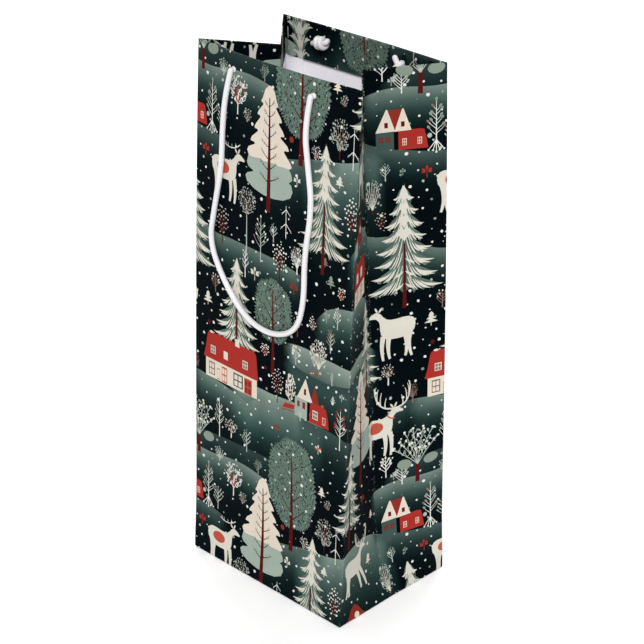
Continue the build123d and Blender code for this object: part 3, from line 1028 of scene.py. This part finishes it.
# One repeat of the pattern, by drawing: the height that sets its order from the back, and its own measures
LAYOUT = [
    (round_tree, [
        (35, 87.3, 52, 114, 20, 35), (152, 69.7, 173, 213.5, 15.4, 150),
    ]),
    (cream_pine, [
        (2, 62.3, 9.2, 76.3, 19.6, 0), (90, 157, 103.5, 165, 18.5, 88),
    ]),
    (snowy_pine, [
        (-24, 106, -13.5, 50, 17.5, -26), (160, 38.2, 161, 215, 18.6, 152), (193, 202, 204, 269.5, 22, 193),
        (50, 139.5, 66, 117, 17, 52), (140, 170, 149, 203, 16, 139),
    ]),
    (deer, [
        (-3, 12.6, -3.5, 0.99, 1, RUST, 0), (160.5, 209, 160.5, 1, -1, None, 0),
        (96, 171, 95.5, 1, 1, RUST, 1.05, RUST), (18, 135.5, 17.5, 0.93, 1, None, 0.8, None, 5),
    ]),
    (fixed, [
        (129.2, 8.6, 129.2, LONG_HOUSE), (131, 88.8, 131, GABLE_HOUSE), (38.6, 184, 38.6, TWIN_GABLES),
        (212, 136, 212, BARN), (-6, 132, -7, CHAPEL), (132, 78.6, 132.6, SLED),
    ]),
    (blob_tree, [
        (71.5, 210, 71.5, 110),
    ]),
    (fluffy, [
        (48, 115.6, 60.5, 6.8, 9.6, 46, FROST, BARK, 0.6, 0.62, TAUPE),
        (230, 46.8, 256.2, 7.6, 8.6, 222, FROST, FROST, 0.58, 0.6, TAUPE),
        (52, 35.6, 67.6, 8, 8.6, 52.5, SNOW, SNOW, 0.72, 0.62, RUST),
        (41, 99, 46, 3.6, 4.2, 40, SNOW, TAUPE, 0.5, 0.7),
        (164, 107.5, 177.5, 7, 9.4, 163.5, BONE, RUST, 0.66, 0.62, BONE),
        (222.5, 88.6, 233, 4.7, 6.8, 222.5, SNOW, SNOW, 0.56, 0.7),
        (4, 181, 13, 5.2, 9.2, 1, FROST, WINE, 0.56, 0.75, BONE),
        (137.5, 85, 147.6, 4.2, 8.8, 137.5, BONE, BARK, 0.95, 0.75, BARK),
        (93, 33.2, 102, 5.8, 4.9, 93.5, BONE, SNOW, 0.56, 0.55, TAUPE),
        (143.5, 191, 153, 4.9, 4.6, 143.5, BONE, SNOW, 0.5, 0.5, TAUPE),
        (127.5, 206.8, 136.2, 4.4, 4.8, 127.5, TAUPE, TAUPE, 0.5, 0.6),
    ]),
    (dotted, [
        (133.5, 74, 148, 5.4, 8.6, 133.5, SNOW, BARK, 0.5, 34),
        (222.8, 25.2, 238, 5.8, 9.2, 222.8, FROST, BARK, 0.62, 30),
        (213.5, 75, 229, 6, 8.8, 213.5, SNOW, BARK, 0.66, 34), (3, 126.2, 16, 5.4, 9.8, 2, SNOW, BARK, 0.68, 32),
        (54, 44.2, 54.6, 3.4, 4.2, 50, FROST, TAUPE, 0.5, 18),
        (74, 117.5, 80.5, 2.9, 3.2, 77, FROST, TAUPE, 0.45, 13),
        (161, 63.4, 165.6, 3.6, 4.2, 161, SNOW, BRICK, 0.55, 18),
        (191, 102, 195.6, 3, 3.8, 191.2, SNOW, TAUPE, 0.5, 15),
        (216.5, 123.4, 221.2, 3.2, 4, 217, SNOW, BRICK, 0.5, 17), (183, 90, 193, 3.6, 4, 183, SNOW, BRICK, 0.45, 14),
        (246, 188.4, 251.5, 3.4, 5.6, 244.5, FROST, BARK, 0.5, 18),
        (72, 22.6, 78.6, 4.6, 4.4, 72.5, FROST, FROST, 0.52, 24), (166, 86, 176, 3, 0.5, 175, FROST, TAUPE, 0.3, 4),
        (10, 146, 82, 0.8, 0.8, 81, BONE, BONE, 0.4, 3),
    ]),
    (stick_pine, [
        (42, 125.3, 42, 66, 4), (-14, 77, -12, 8, 4.4),
    ]),
    (leafy, [
        (35, 12.4, 35, 67.5, 5.2, SNOW, SAGE_LIGHT, 1.25, True), (89.5, 22.6, 90, 117, 4.4, SNOW, FROST, 0.6),
        (89, 47.6, 89, 104.5, 4, FROST, FROST, 0.5), (37, 21.4, 37, 53, 4.4, FROST, FROST, 0.7),
        (207, 45.6, 207, 226, 3, SNOW, FROST, 0.5), (222, 58.8, 221, 250, 5.6, FROST, SNOW, 0.85),
        (236, 69.6, 237, 248.5, 2.8, FROST, FROST, 0.45), (181.5, 116.6, 181.5, 196, 3.2, FROST, TAUPE, 0.9),
        (198, 121.3, 198, 211.5, 2.8, FROST, BONE, 0.7), (199, 112.8, 199.5, 207.5, 2.4, SAGE_LIGHT, FROST, 0.5),
        (164.5, 89, 164.5, 176, 3.4, FROST, SNOW, 0.95), (121, 125.8, 121, 148, 5, SNOW, BRICK, 1.1),
        (80.5, 188.3, 80.5, 94.5, 4.2, SNOW, BONE, 1), (72.5, 199.2, 72.5, 83, 5.2, SNOW, FROST, 0.9),
        (20.5, 189, 20.5, 31, 3, FROST, FROST, 0.4), (188.5, 225.6, 188.5, 200, 3.8, TAUPE, BONE, 0.7),
        (77, 57.8, 77.5, 87, 3.4, SAGE_LIGHT, SAGE_LIGHT, 0.5), (161, 118.4, 161, 170.5, 1.6, FROST, FROST, 0.3),
        (129, 93.5, 128.5, 136, 1.6, FROST, FROST, 0.3),
    ]),
    (antler_twig, [
        (30, 31, 31, 14),
    ]),
    (sapling, [
        (210, 54, 212, 4.4, BONE), (210.5, 86.6, 213, 4, BRICK), (280, 213.4, 23.5, 3.8, RED),
        (22, 85, 25.2, 3.2, BONE), (113, 74, 116.4, 2.8, BRICK), (111, 108.8, 115, 3.2, CREAM, RUST),
        (154, 126.4, 156, 2.4, FROST), (20, 199.2, 25.2, 2.2, SAGE_LIGHT), (77, 193.4, 80.2, 2.6, FROST),
        (161, 102.6, 163.4, 1.8, RUST, BONE), (77, 160.4, 77, 3.6, BRICK),
    ]),
    (mini_pine, [
        (29, 116.6, 29.4, 6.4), (83, 112.4, 83.2, 6.8, CREAM), (149, 119.6, 149.6, 4.6, FROST),
        (178.5, 218.6, 177.8, 8.6), (222, 115.2, 222.2, 7, SAGE_LIGHT), (30, 166, 29, 7, CREAM),
        (58, 173, 58, 5.5, CREAM), (234, 110.4, 233.6, 5.6, TAUPE), (150, 176, 186, 6, FROST),
    ]),
    (berry, [
        (48, 80, 48.8, 1.7, BRICK), (167, 219.6, 166.6, 1.4, WINE), (168, 186.6, 167.6, 1.1, WINE),
        (154, 63.8, 153.6, 1.2, WINE), (45, 215, 45.6, 1.4, FROST), (17, 57, 17.4, 1, FROST),
    ]),
]

# Crests of the hills, from the far ones to the near ones: the tone along the crest and how far it fades down
HILLS = [
    ([(127, 242), (131, 249), (137, 254), (146, 257), (158, 256), (170, 251), (180, 243)], (120, 138, 130), 12),
    ([(168, 250), (181, 241), (195, 240.5), (207, 236), (217, 230), (226, 227.5), (240, 228), (256, 227.5),
      (272, 227), (285, 226), (302, 222)], (100, 118, 110), 8.8),
    ([(104, 198), (109, 204), (114, 208.5), (120, 211), (128, 212.5), (138, 213.5), (150, 214), (165, 210),
      (177, 202)], (116, 134, 125), 11),
    ([(80, 176), (88, 177.5), (100, 178), (110, 176.5), (120, 176), (132, 175), (150, 177), (165, 177), (178, 173),
      (184, 168)], (138, 152, 143), 16),
    ([(80, 166), (88, 163.5), (95, 162), (105, 161.5), (115, 161), (125, 162.5), (135, 165), (150, 168), (170, 168),
      (182, 160)], (52, 71, 68), 10),
    ([(32, 130), (42, 134), (52, 137.5), (60, 138), (70, 137.5), (80, 138.5), (92, 139), (104, 136),
      (114, 131)], (134, 149, 139), 15),
    ([(186, 122), (192, 125.5), (198, 128.5), (205, 130.5), (213, 130), (224, 129)], (56, 74, 70), 9),
    ([(204, 130.5), (213, 130), (222, 129), (233, 128), (242, 126.5), (251, 124.5),
      (262, 121)], (106, 124, 116), 9.5),
    ([(44, 122.5), (50, 125.5), (57, 129.5), (65, 131.5), (75, 132), (88, 131.5), (98, 131)], (114, 130, 122), 13),
    ([(78, 132), (90, 131), (105, 130.5), (118, 130.5), (132, 128), (144, 124)], (60, 78, 74), 13),
    ([(186, 78), (194, 82), (201, 85.5), (210, 88.5), (221, 90), (235, 91), (250, 91.5), (268, 92),
      (280, 92.5)], (44, 62, 60), 12),
    ([(174, 71), (182, 74), (190, 76), (200, 76.5), (212, 75.5), (222, 75.5), (236, 78), (248, 79), (256, 78.5),
      (268, 76.5), (277, 73)], (114, 130, 122), 9.2),
    ([(58, 33), (68, 35), (80, 37), (92, 40), (104, 42), (118, 44)], (84, 101, 95), 12),
    ([(90, 40), (98, 41.5), (108, 43), (116, 44), (126, 46.5), (134, 49.5), (146, 51), (158, 50.5), (168, 48.5),
      (178, 44.5), (190, 39)], (122, 140, 131), 19.5),
    ([(170, 47), (180, 43.5), (192, 39.5), (202, 38), (214, 36), (224, 36), (236, 33)], (70, 88, 84), 8.5),
]
FACE = (-230, -290, 380, 400)  # a repeat starting inside these limits may reach the sheet


def tile_shifts():
    """The moves from the first repeat to every repeat that may reach the sheet."""
    for rows in range(-1, 3):
        for columns in range(-2, 3):
            shift = TILE_AROUND * columns + TILE_UP * rows
            if FACE[0] < shift[0] < FACE[2] and FACE[1] < shift[1] < FACE[3]:
                yield shift


def crest_line(points):
    """A smooth line through a hill's points."""
    points = np.array(points, float)
    for _ in range(2):
        cut_in, cut_out = points[:-1] * 0.75 + points[1:] * 0.25, points[:-1] * 0.25 + points[1:] * 0.75
        middle = np.empty((2 * len(cut_in), 2))
        middle[0::2], middle[1::2] = cut_in, cut_out
        points = np.r_[points[:1], middle[1:-1], points[-1:]]
    return points


HILL_CRESTS = [(crest_line(points) + shift, tone, fade) for points, tone, fade in HILLS for shift in tile_shifts()]
HILL_CRESTS.sort(key=lambda crest: -crest[0][:, 1].mean())
GROUND_LIFT = (2, 12, 16)  # the lightest tone of the night between the hills
HILL_END = 9.0  # how far a hill takes to rise from nothing at its ends
RED_FADE = 0.25  # a hill's red fades faster than the rest of its tone, by this power


def ground(s, w):
    """Scene-linear colour of the printed night and its hills."""
    wave = 0.5 + 0.5 * np.sin(s / 31.0 + 1.3 * np.sin(w / 47.0)) * np.sin(w / 39.0 + 0.7)
    night, lift = np.array(linear(*NIGHT)[:3]), np.array(linear(*GROUND_LIFT)[:3])
    colour = night + (lift - night) * (0.15 + 0.5 * wave)[:, None]
    for line, tone, fade in HILL_CRESTS:
        crest = np.interp(s, line[:, 0], line[:, 1])
        edge = np.clip(np.minimum(s - line[0, 0], line[-1, 0] - s) / HILL_END, 0.0, 1.0)
        below = np.maximum(crest - w, 0.0)
        share = np.where(w <= crest, np.exp(-((below / fade) ** 1.35)) * edge * edge * (3 - 2 * edge), 0.0)
        cover = np.clip(share * 1.15, 0, 1)[:, None]
        share = share[:, None]
        grain = 1 + 0.06 * np.sin(s * 0.21 + crest)[:, None]
        reds = share * share**RED_FADE
        target = np.array(linear(*tone)[:3]) * grain * np.concatenate([reds, share, share], axis=1)
        colour = colour * (1 - cover) + target + night * (cover - share).clip(0)
    return colour


FLAKE_TRIES, FLAKE_GAP = 5200, 6.2


def snow_dots():
    """Flakes over one repeat, no two too close together."""
    rng = random.Random(12)
    wide, tall = TILE_AROUND[0], TILE_UP[1]

    def apart(a, b, repeat):
        return min(abs(a - b), repeat - abs(a - b))

    placed = []
    for _ in range(FLAKE_TRIES):
        x, y = rng.uniform(0, wide), rng.uniform(0, tall)
        if all(apart(x, px, wide) ** 2 + apart(y, py, tall) ** 2 > FLAKE_GAP**2 for px, py in placed):
            placed.append((x, y))
    shapes = []
    for x, y in placed:
        size = rng.choice((0.35, 0.5, 0.6, 0.75, 0.9, 1.05))
        tone = SNOW if rng.random() < 0.72 else FROST if rng.random() < 0.5 else SAGE_LIGHT
        ring = ellipse(x, y, size, size * rng.uniform(0.8, 1.1), 8, rng.uniform(0, 3))
        rough = [(rng.uniform(-0.12, 0.12), rng.uniform(-0.12, 0.12)) for _ in ring]
        shapes.append((ring + rough, tone))
    return shapes


def artwork():
    """All the printed shapes on the whole sheet, from the back to the front."""
    flakes = snow_dots()
    motifs = []
    rows = [(draw, row) for draw, group in LAYOUT for row in group]
    for number, (draw, (order, *measures)) in enumerate(rows):
        layer = 0 if draw is round_tree else 2  # the flakes fall in front of the round trees only
        motifs.append((layer, order, list(draw(random.Random(100 + number), *measures))))
    placed = []
    for shift in tile_shifts():
        placed.append((1, 0.0, shift, flakes))
        placed += [(layer, -(order + shift[1]), shift, shapes) for layer, order, shapes in motifs]
    placed.sort(key=lambda entry: entry[:2])
    return [(ring + shift, tone) for _, _, shift, shapes in placed for ring, tone in shapes]


ARTWORK = artwork()
LOWS, HIGHS = np.array([ring.min(0) for ring, _ in ARTWORK]), np.array([ring.max(0) for ring, _ in ARTWORK])


def shapes_in(low, high, drift):
    """The printed shapes that reach into a rectangle, with the print moved by drift."""
    reaches = ((HIGHS + drift > low) & (LOWS + drift < high)).all(1)
    return [(ARTWORK[i][0] + drift, ARTWORK[i][1]) for i in np.flatnonzero(reaches)]


# ---------------------------------------------------------------- cutting the print into the sheet

GRID = 6.0  # spacing of the mesh where nothing is printed
NEAR = (0.0, 0.15, 0.3, 0.5, 0.7, 0.9, 1.4, 2.6)  # extra lines beside a crease


def lines_between(start, end, creased=False):
    """Grid lines from start to end, closer beside the creases if both are creased."""
    count = max(2, int(round((end - start) / GRID)) + 1)
    lines = {round(v, 4) for v in np.linspace(start, end, count)}
    if creased:
        ends = (round(start, 4), round(end, 4))
        for origin, sign in ((start, 1), (end, -1)):
            lines = {v for v in lines if abs(v - origin) > NEAR[-1] + 0.6 or v in ends}
            lines |= {round(origin + sign * d, 4) for d in NEAR}
    return sorted(lines)


def boundary_edges(triangles):
    """Directed edges of the triangles that have no neighbour."""
    edges = np.concatenate([triangles[:, (0, 1)], triangles[:, (1, 2)], triangles[:, (2, 0)]])
    size = int(edges.max()) + 1
    forward, backward = edges[:, 0] * size + edges[:, 1], edges[:, 1] * size + edges[:, 0]
    return [tuple(int(v) for v in edge) for edge in edges[~np.isin(forward, backward)]]


def inside(ring, places):
    """Which places are inside a ring, by how often it winds round them."""
    x, y = places[:, 0][:, None], places[:, 1][:, None]
    ax, ay = ring[:, 0][None], ring[:, 1][None]
    bx, by = np.roll(ring[:, 0], -1)[None], np.roll(ring[:, 1], -1)[None]
    left = (bx - ax) * (y - ay) - (x - ax) * (by - ay)
    winding = ((ay <= y) & (by > y) & (left > 0)).sum(1) - ((ay > y) & (by <= y) & (left < 0)).sum(1)
    return winding != 0


def cut(outline, holes, shapes, across, along):
    """Triangles of the outline with every shape's outline cut in, and each triangle's topmost shape."""
    points, edges = [], []

    def put(ring, closed=True):
        first = len(points)
        points.extend(ring)
        count = len(ring)
        edges.extend((first + i, first + (i + 1) % count) for i in range(count if closed else count - 1))

    low, high = outline.min(0), outline.max(0)
    for ring in (outline, *holes, *(ring for ring, _ in shapes)):
        put(ring)
    for x in across:
        put([(x, low[1]), (x, high[1])], False)
    for y in along:
        put([(low[0], y), (high[0], y)], False)
    for crest, _, _ in HILL_CRESTS:
        if (crest.max(0) > low).all() and (crest.min(0) < high).all():
            put(crest, False)
    found = delaunay_2d_cdt([Vector(p) for p in points], edges, [], 0, 1e-4, False)
    corners = np.array([tuple(v) for v in found[0]])
    triangles = np.array([tuple(t) for t in found[2]])
    centres = corners[triangles].mean(axis=1)
    kept = inside(outline, centres)
    for ring in holes:
        kept &= ~inside(ring, centres)
    triangles, centres = triangles[kept], centres[kept]
    tops = np.full(len(triangles), -1)
    order = np.argsort(centres[:, 1])
    levels = centres[order, 1]
    for number, (ring, _) in enumerate(shapes):
        first, last = np.searchsorted(levels, (ring[:, 1].min(), ring[:, 1].max()))
        near = order[first:last]
        near = near[(centres[near, 0] > ring[:, 0].min()) & (centres[near, 0] < ring[:, 0].max())]
        if len(near):
            tops[near[inside(ring, centres[near])]] = number
    return corners, triangles, tops


def rings_of(edges):
    """Closed rings of vertex numbers from directed edges."""
    follow = dict(edges)
    rings = []
    while follow:
        start = next(iter(follow))
        ring, at = [], start
        while at in follow:
            ring.append(at)
            at = follow.pop(at)
        rings.append(ring)
    return rings


def area(ring):
    """The area inside a ring, negative where it runs clockwise."""
    x, y = ring[:, 0], ring[:, 1]
    return 0.5 * float(np.sum(x * np.roll(y, -1) - np.roll(x, -1) * y))


def back_triangles(corners, rings, across, along):
    """Triangles of the unprinted side: the same border, with only the grid inside it."""
    border = [i for ring in rings for i in ring]
    points = [Vector(corners[i]) for i in border]
    edges, first = [], 0
    for ring in rings:
        edges += [(first + i, first + (i + 1) % len(ring)) for i in range(len(ring))]
        first += len(ring)
    points += [Vector((x, y)) for x in across[1:-1] for y in along[1:-1]]
    found = delaunay_2d_cdt(points, edges, [], 0, 1e-5, True)
    home = {}
    for number, sources in enumerate(found[3]):
        for source in sources:
            if source < len(border):
                home[border[source]] = number
    places = np.array([tuple(v) for v in found[0]])
    triangles = np.array([tuple(t) for t in found[2]])
    centres = places[triangles].mean(axis=1)
    kept = np.ones(len(triangles), bool)
    for ring in rings:
        outline = corners[ring]
        kept &= inside(outline, centres) == (area(outline) > 0)
    return places, triangles[kept], home


INK_SHADE = 0.745  # the ink takes this much of the light that its tones are mixed for
CREASE_WEAR, FOLD_WEAR = 0.55, 0.8  # how far from a crease or a fold the ink has cracked


def printed_colours(corners, triangles, tops, shapes):
    """A colour for each corner of each triangle of the printed side."""
    colours = np.ones((len(triangles), 3, 4))
    bare = tops < 0
    if shapes:
        colours[~bare] = np.array([linear(*tone) for _, tone in shapes])[tops[~bare]][:, None]
    places = corners[triangles[bare]]
    # just inside each corner, so that a triangle beside a hill's crest takes its own side's tone
    places = places + (places.mean(axis=1, keepdims=True) - places) * 0.02
    flat = places.reshape(-1, 2)
    colours[bare, :, :3] = ground(flat[:, 0], flat[:, 1]).reshape(-1, 3, 3)
    colours[:, :, :3] *= INK_SHADE
    return colours


def wear(s, w, creases, folds):
    """How near a place is to a crease or a fold, from 0 to 1."""
    away = [(s - crease) / CREASE_WEAR for crease in creases] + [(w - fold) / FOLD_WEAR for fold in folds]
    return np.exp(-np.min(np.square(away), axis=0))


def normals_at(place, s, w, depth, middle):
    """Outward directions of the sheet's surface, taken from the side away from a crease."""
    step = 0.03
    toward = np.where(s > middle, -1.0, 1.0)
    here = place(s, w, depth)
    round_bag = (place(s + toward * step, w, depth) - here) * toward[:, None]
    up = place(s, w + step, depth) - here
    return unit(np.cross(round_bag, up))


def sheet_piece(
    name, place, low, high, along, holes=(), creases=(), folds=(), across_creased=True, outline=None, drift=(0.0, 0.0),
):
    """One facet of the sheet as a thin closed solid, printed on its outer side.

    It reaches from low to high, both (s, w), unless an outline is given; place(s, w, depth) gives its points,
    and along lists the levels of its grid. drift moves the print.
    """
    across = lines_between(low[0], high[0], across_creased)
    shapes = shapes_in(low, high, drift)
    outline = box(*low, *high) if outline is None else outline
    corners, triangles, tops = cut(outline, holes, shapes, across, along)
    colours = printed_colours(corners - drift, triangles, tops, shapes)
    rings = rings_of(boundary_edges(triangles))
    back, back_faces, home = back_triangles(corners, rings, across, along)

    used = np.unique(triangles)
    renumber = {old: new for new, old in enumerate(used)}
    front_places, back_places = (*corners[used].T, 0.0), (*back.T, PAPER)
    count = len(used)
    faces = [tuple(renumber[i] for i in t) for t in triangles]
    faces += [tuple(count + i for i in t[::-1]) for t in back_faces]
    printed, plain = len(triangles), len(back_faces)
    for ring in rings:
        for a, b in zip(ring, ring[1:] + ring[:1]):
            faces.append((renumber[b], renumber[a], count + home[a], count + home[b]))

    mesh = bpy.data.meshes.new(name)
    mesh.from_pydata((np.r_[place(*front_places), place(*back_places)] * MM).tolist(), [], faces)
    for material in (INK, INSIDE, EDGE):
        mesh.materials.append(material)
    slots = np.r_[np.zeros(printed, int), np.ones(plain, int), np.full(len(faces) - printed - plain, 2)]
    mesh.polygons.foreach_set("material_index", slots)
    corner_count = len(mesh.loops)
    ink = np.ones((corner_count, 4))
    ink[: 3 * printed] = colours.reshape(-1, 4)
    mesh.attributes.new("ink", "FLOAT_COLOR", "CORNER").data.foreach_set("color", ink.ravel())
    fold = np.r_[wear(*corners[used].T, creases, folds), np.zeros(len(back))]
    mesh.attributes.new("fold", "FLOAT", "POINT").data.foreach_set("value", fold)

    middle = (low[0] + high[0]) / 2
    vertex_normals = np.r_[normals_at(place, *front_places, middle), -normals_at(place, *back_places, middle)]
    loops = np.zeros(corner_count, int)
    mesh.loops.foreach_get("vertex_index", loops)
    skins = 3 * (printed + plain)
    normals = np.zeros((corner_count, 3))  # none given for the cut edges, which keep their own
    normals[:skins] = vertex_normals[loops[:skins]]
    mesh.shade_smooth()
    mesh.normals_split_custom_set(normals.tolist())
    made = add_object(name, mesh)
    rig.ride(made, "root")
    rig.replaces(made, name)
    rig.slot(made, "printed_paper")
    return made


SPLIT = SHEET - 1.4  # where a facet stops and its turned-in hem begins
# The print on a turned-in hem sits a little off the facet's own print
HEM_DRIFT = {"rear": (-3.0, 0.0), "left_front": (-4.0, -5.5), "left_rear": (-4.0, -5.5)}
BASE_LINES = [0.0, 0.2, 0.4, 0.7, 1.1, 2.0]
SIDE_FLAP, END_FLAP_OVERLAP = 60.0, 8.0  # how far the base flaps reach in, and past the middle


def facet_pieces(facet):
    """A facet up to its top fold, and the hem that it turns into."""
    start, end = CORNERS[facet]
    wide = facet in ("front", "rear")
    radius = (FULL_STACK if wide else THIN_STACK) / 2
    body_name = f"{facet}_panel" if wide else "{}_gusset_{}_half".format(*facet.split("_"))
    hem_name = f"{facet}_hem" if wide else f"{body_name}_hem"
    fold_start = SHEET - radius
    fold_end = fold_start + math.pi * radius
    turned = fold_start + fold_end  # a level w of the facet lies at turned - w on its hem

    def place(s, w, depth):
        return skin(facet, s, w, depth)

    def holes(level):
        centres = [(start + end) / 2 + x for x in (-HOLE_X, HOLE_X)] if wide else []
        return [ellipse(centre, level, HOLE_RADIUS, HOLE_RADIUS, 28) for centre in centres]

    sheet_piece(
        body_name, place, (start, 0.0), (end, SPLIT), sorted(set(BASE_LINES + lines_between(6.0, SPLIT))),
        holes(HOLE_LEVEL), (start, end), (0.0,),
    )
    hem_end = turned - (SHEET - HEM_DEPTH)
    hem_lines = {SPLIT, *np.linspace(fold_start, fold_end, 9), *np.linspace(fold_end + 1.0, hem_end, 5)}
    sheet_piece(
        hem_name, place, (start, SPLIT), (end, hem_end), sorted(hem_lines), holes(turned - HOLE_LEVEL), (start, end),
        (turned / 2,), drift=HEM_DRIFT.get(facet, (0.0, 0.0)),
    )


def base_pieces():
    """The four flaps folded in under the bag: the front and rear ones mitred, over the two side ones."""
    slim = 2 * (PAPER + GLUE)
    reach = HALF_DEPTH + END_FLAP_OVERLAP - PAPER
    for facet, layer in (("front", 0), ("rear", 1)):
        start, end = CORNERS[facet]
        corners = [(start + slim, 0.0), (start + slim + reach, -reach), (end - slim - reach, -reach), (end - slim, 0.0)]

        def place(s, w, depth, flap=(facet, layer)):
            return base_skin(flap, s, w, depth)

        lines = sorted([-v for v in BASE_LINES] + [-reach, *np.linspace(6 - reach, -6, 8)])
        sheet_piece(
            f"base_flap_{facet}", place, (start, -reach), (end, 0.0), lines, folds=(0.0,), across_creased=False,
            outline=np.array(corners),
        )
    for side, first, second in (("left", "left_rear", "left_front"), ("right", "right_front", "right_rear")):
        start, end = CORNERS[first][0], CORNERS[second][1]

        def place(s, w, depth, first=first, second=second):
            s, w = np.broadcast_arrays(np.asarray(s, float), np.asarray(w, float))
            before = (s < CORNERS[first][1])[..., None]
            return np.where(before, base_skin((first, 2), s, w, depth), base_skin((second, 2), s, w, depth))

        lines = sorted([-v for v in BASE_LINES] + list(np.linspace(-SIDE_FLAP, -6, 9)))
        sheet_piece(
            f"base_flap_{side}", place, (start + slim, -SIDE_FLAP), (end - slim, 0.0), lines, folds=(0.0,),
            across_creased=False,
        )


for facet in ROUND:
    facet_pieces(facet)
base_pieces()


# ---------------------------------------------------------------- knots and handle cords

KNOT_DEPTH = 5.6  # how far the middle of a knot stands in from the panel's outer face
WRAP_RADIUS, WRAP_PITCH, WRAP_TURNS = 2.75, 3.0, 2.0
WRAP_START = 0.002  # metres from the panel's outer face to where the cord leaves the line of its hole


def knot_route(hole, inward, turn):
    """A cord from outside its hole, wrapped twice round its own tail; turn swings the knot about the hole."""
    route = [(0.0, -0.3, 0.0), (0.0, 0.6, 0.0), (0.0, 1.5, 0.0)]  # across, inward and up, in millimetres
    for turns in np.arange(0, WRAP_TURNS + 0.1, 1 / 8):
        angle = turns * math.tau
        across = -2.0 + WRAP_PITCH * turns
        route.append((across, KNOT_DEPTH - WRAP_RADIUS * math.cos(angle), WRAP_RADIUS * math.sin(angle)))
    route += [(5.4, 4.0, 1.6), (6.0, 5.4, 1.0), (4.6, 5.8, 0.1)]
    route += [(2.4, 5.6, 0.0), (-0.6, 5.5, 0.0), (-3.2, 5.6, -0.2), (-5.0, 5.3, -0.6), (-6.0, 5.0, -0.9)]
    across, deep, up = np.transpose(route) * MM
    swung = np.where(deep < WRAP_START, 0, 1)  # the cord stays straight through its hole
    right = swung * (across * math.cos(turn) - up * math.sin(turn))
    lift = swung * (across * math.sin(turn) + up * math.cos(turn))
    return np.c_[right, inward * deep, lift] + hole


def tied_knot(node, inward, turn):
    """One stopper knot in place of its CAD node."""
    low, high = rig.box(node)
    hole = (math.copysign(HOLE_X * MM, low.x + high.x), low.y if inward > 0 else high.y, (low.z + high.z) / 2)
    line, _ = smooth_line(knot_route(hole, inward, turn))
    knot = tube(f"{node}_tied", line, CORD_RADIUS * MM, False, True)
    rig.ride(knot, "root")
    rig.replaces(knot, node)
    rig.slot(knot, "white_cord")
    return knot


for end, route, length, inward, turns in (
    ("front", FRONT_ROUTE, FRONT_CORD_LENGTH, 1, (0.35, 2.7)),
    ("rear", REAR_ROUTE, REAR_CORD_LENGTH, -1, (0.12, -1.05)),
):
    knots = [tied_knot(f"{end}_knot_{side}", inward, turn) for side, turn in zip(("left", "right"), turns)]
    line, _ = smooth_line(route)
    handle = tube(f"{end}_handle", line, CORD_RADIUS * MM, True, True)
    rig.ride(handle, f"{end}_handle")
    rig.replaces(handle, f"{end}_handle_cord")
    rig.slot(handle, "white_cord")
    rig.cord(
        handle, exit=route[0], length=length, diameter=2 * CORD_RADIUS * MM, far_end="object", stiffness="limp",
        lay="hanging", path=[tuple(p) for p in line[::4]] + [tuple(line[-1])], with_pieces=knots,
    )


# ---------------------------------------------------------------- floor and light

FLOOR = 6.0  # half its width, in metres

def studio():
    """A plain pale floor, three soft suns (from near the camera's side, above and behind) and an even sky."""
    nodes = Nodes("floor")
    tone = nodes.ramp(nodes.noise(9.0), 0.3, 0.7)
    colour = nodes.mix(tone, linear(248, 248, 248), linear(252, 252, 252))
    material = nodes.shade(Base_Color=colour, Roughness=0.7, Normal=nodes.bump(nodes.noise(500.0), 0.0001, 0.2))
    mesh = bpy.data.meshes.new("floor")
    mesh.from_pydata([(x, y, 0) for x, y in box(-FLOOR, -FLOOR, FLOOR, FLOOR)], [], [(0, 1, 2, 3)])
    mesh.materials.append(material)
    floor = add_object("floor", mesh)
    floor.location.z = -0.0004  # just clear of the base
    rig.stage(floor)

    world = bpy.data.worlds.new("studio")
    world.use_nodes = True
    sky = world.node_tree.nodes["Background"].inputs
    sky["Color"].default_value = (1.0, 1.0, 1.0, 1.0)
    sky["Strength"].default_value = 0.34
    scene.world = world
    for name, azimuth, elevation, strength, softness in (
        ("key", 41.0, 40.0, 2.95, 20.0), ("top", 60.0, 84.0, 0.6, 80.0), ("back", 220.0, 35.0, 1.4, 50.0),
    ):
        light = bpy.data.lights.new(name, "SUN")
        light.energy, light.angle = strength, math.radians(softness)
        lamp = add_object(name, light)
        lamp.location = toward(azimuth, elevation) * 2.0
        lamp.rotation_mode = "QUATERNION"
        lamp.rotation_quaternion = (-toward(azimuth, elevation)).to_track_quat("-Z", "Y")


studio()

with open("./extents.json", "w") as out:
    json.dump({"cad": [list(c) for c in CAD_BOX], "visual": [list(c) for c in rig.bounds()]}, out)
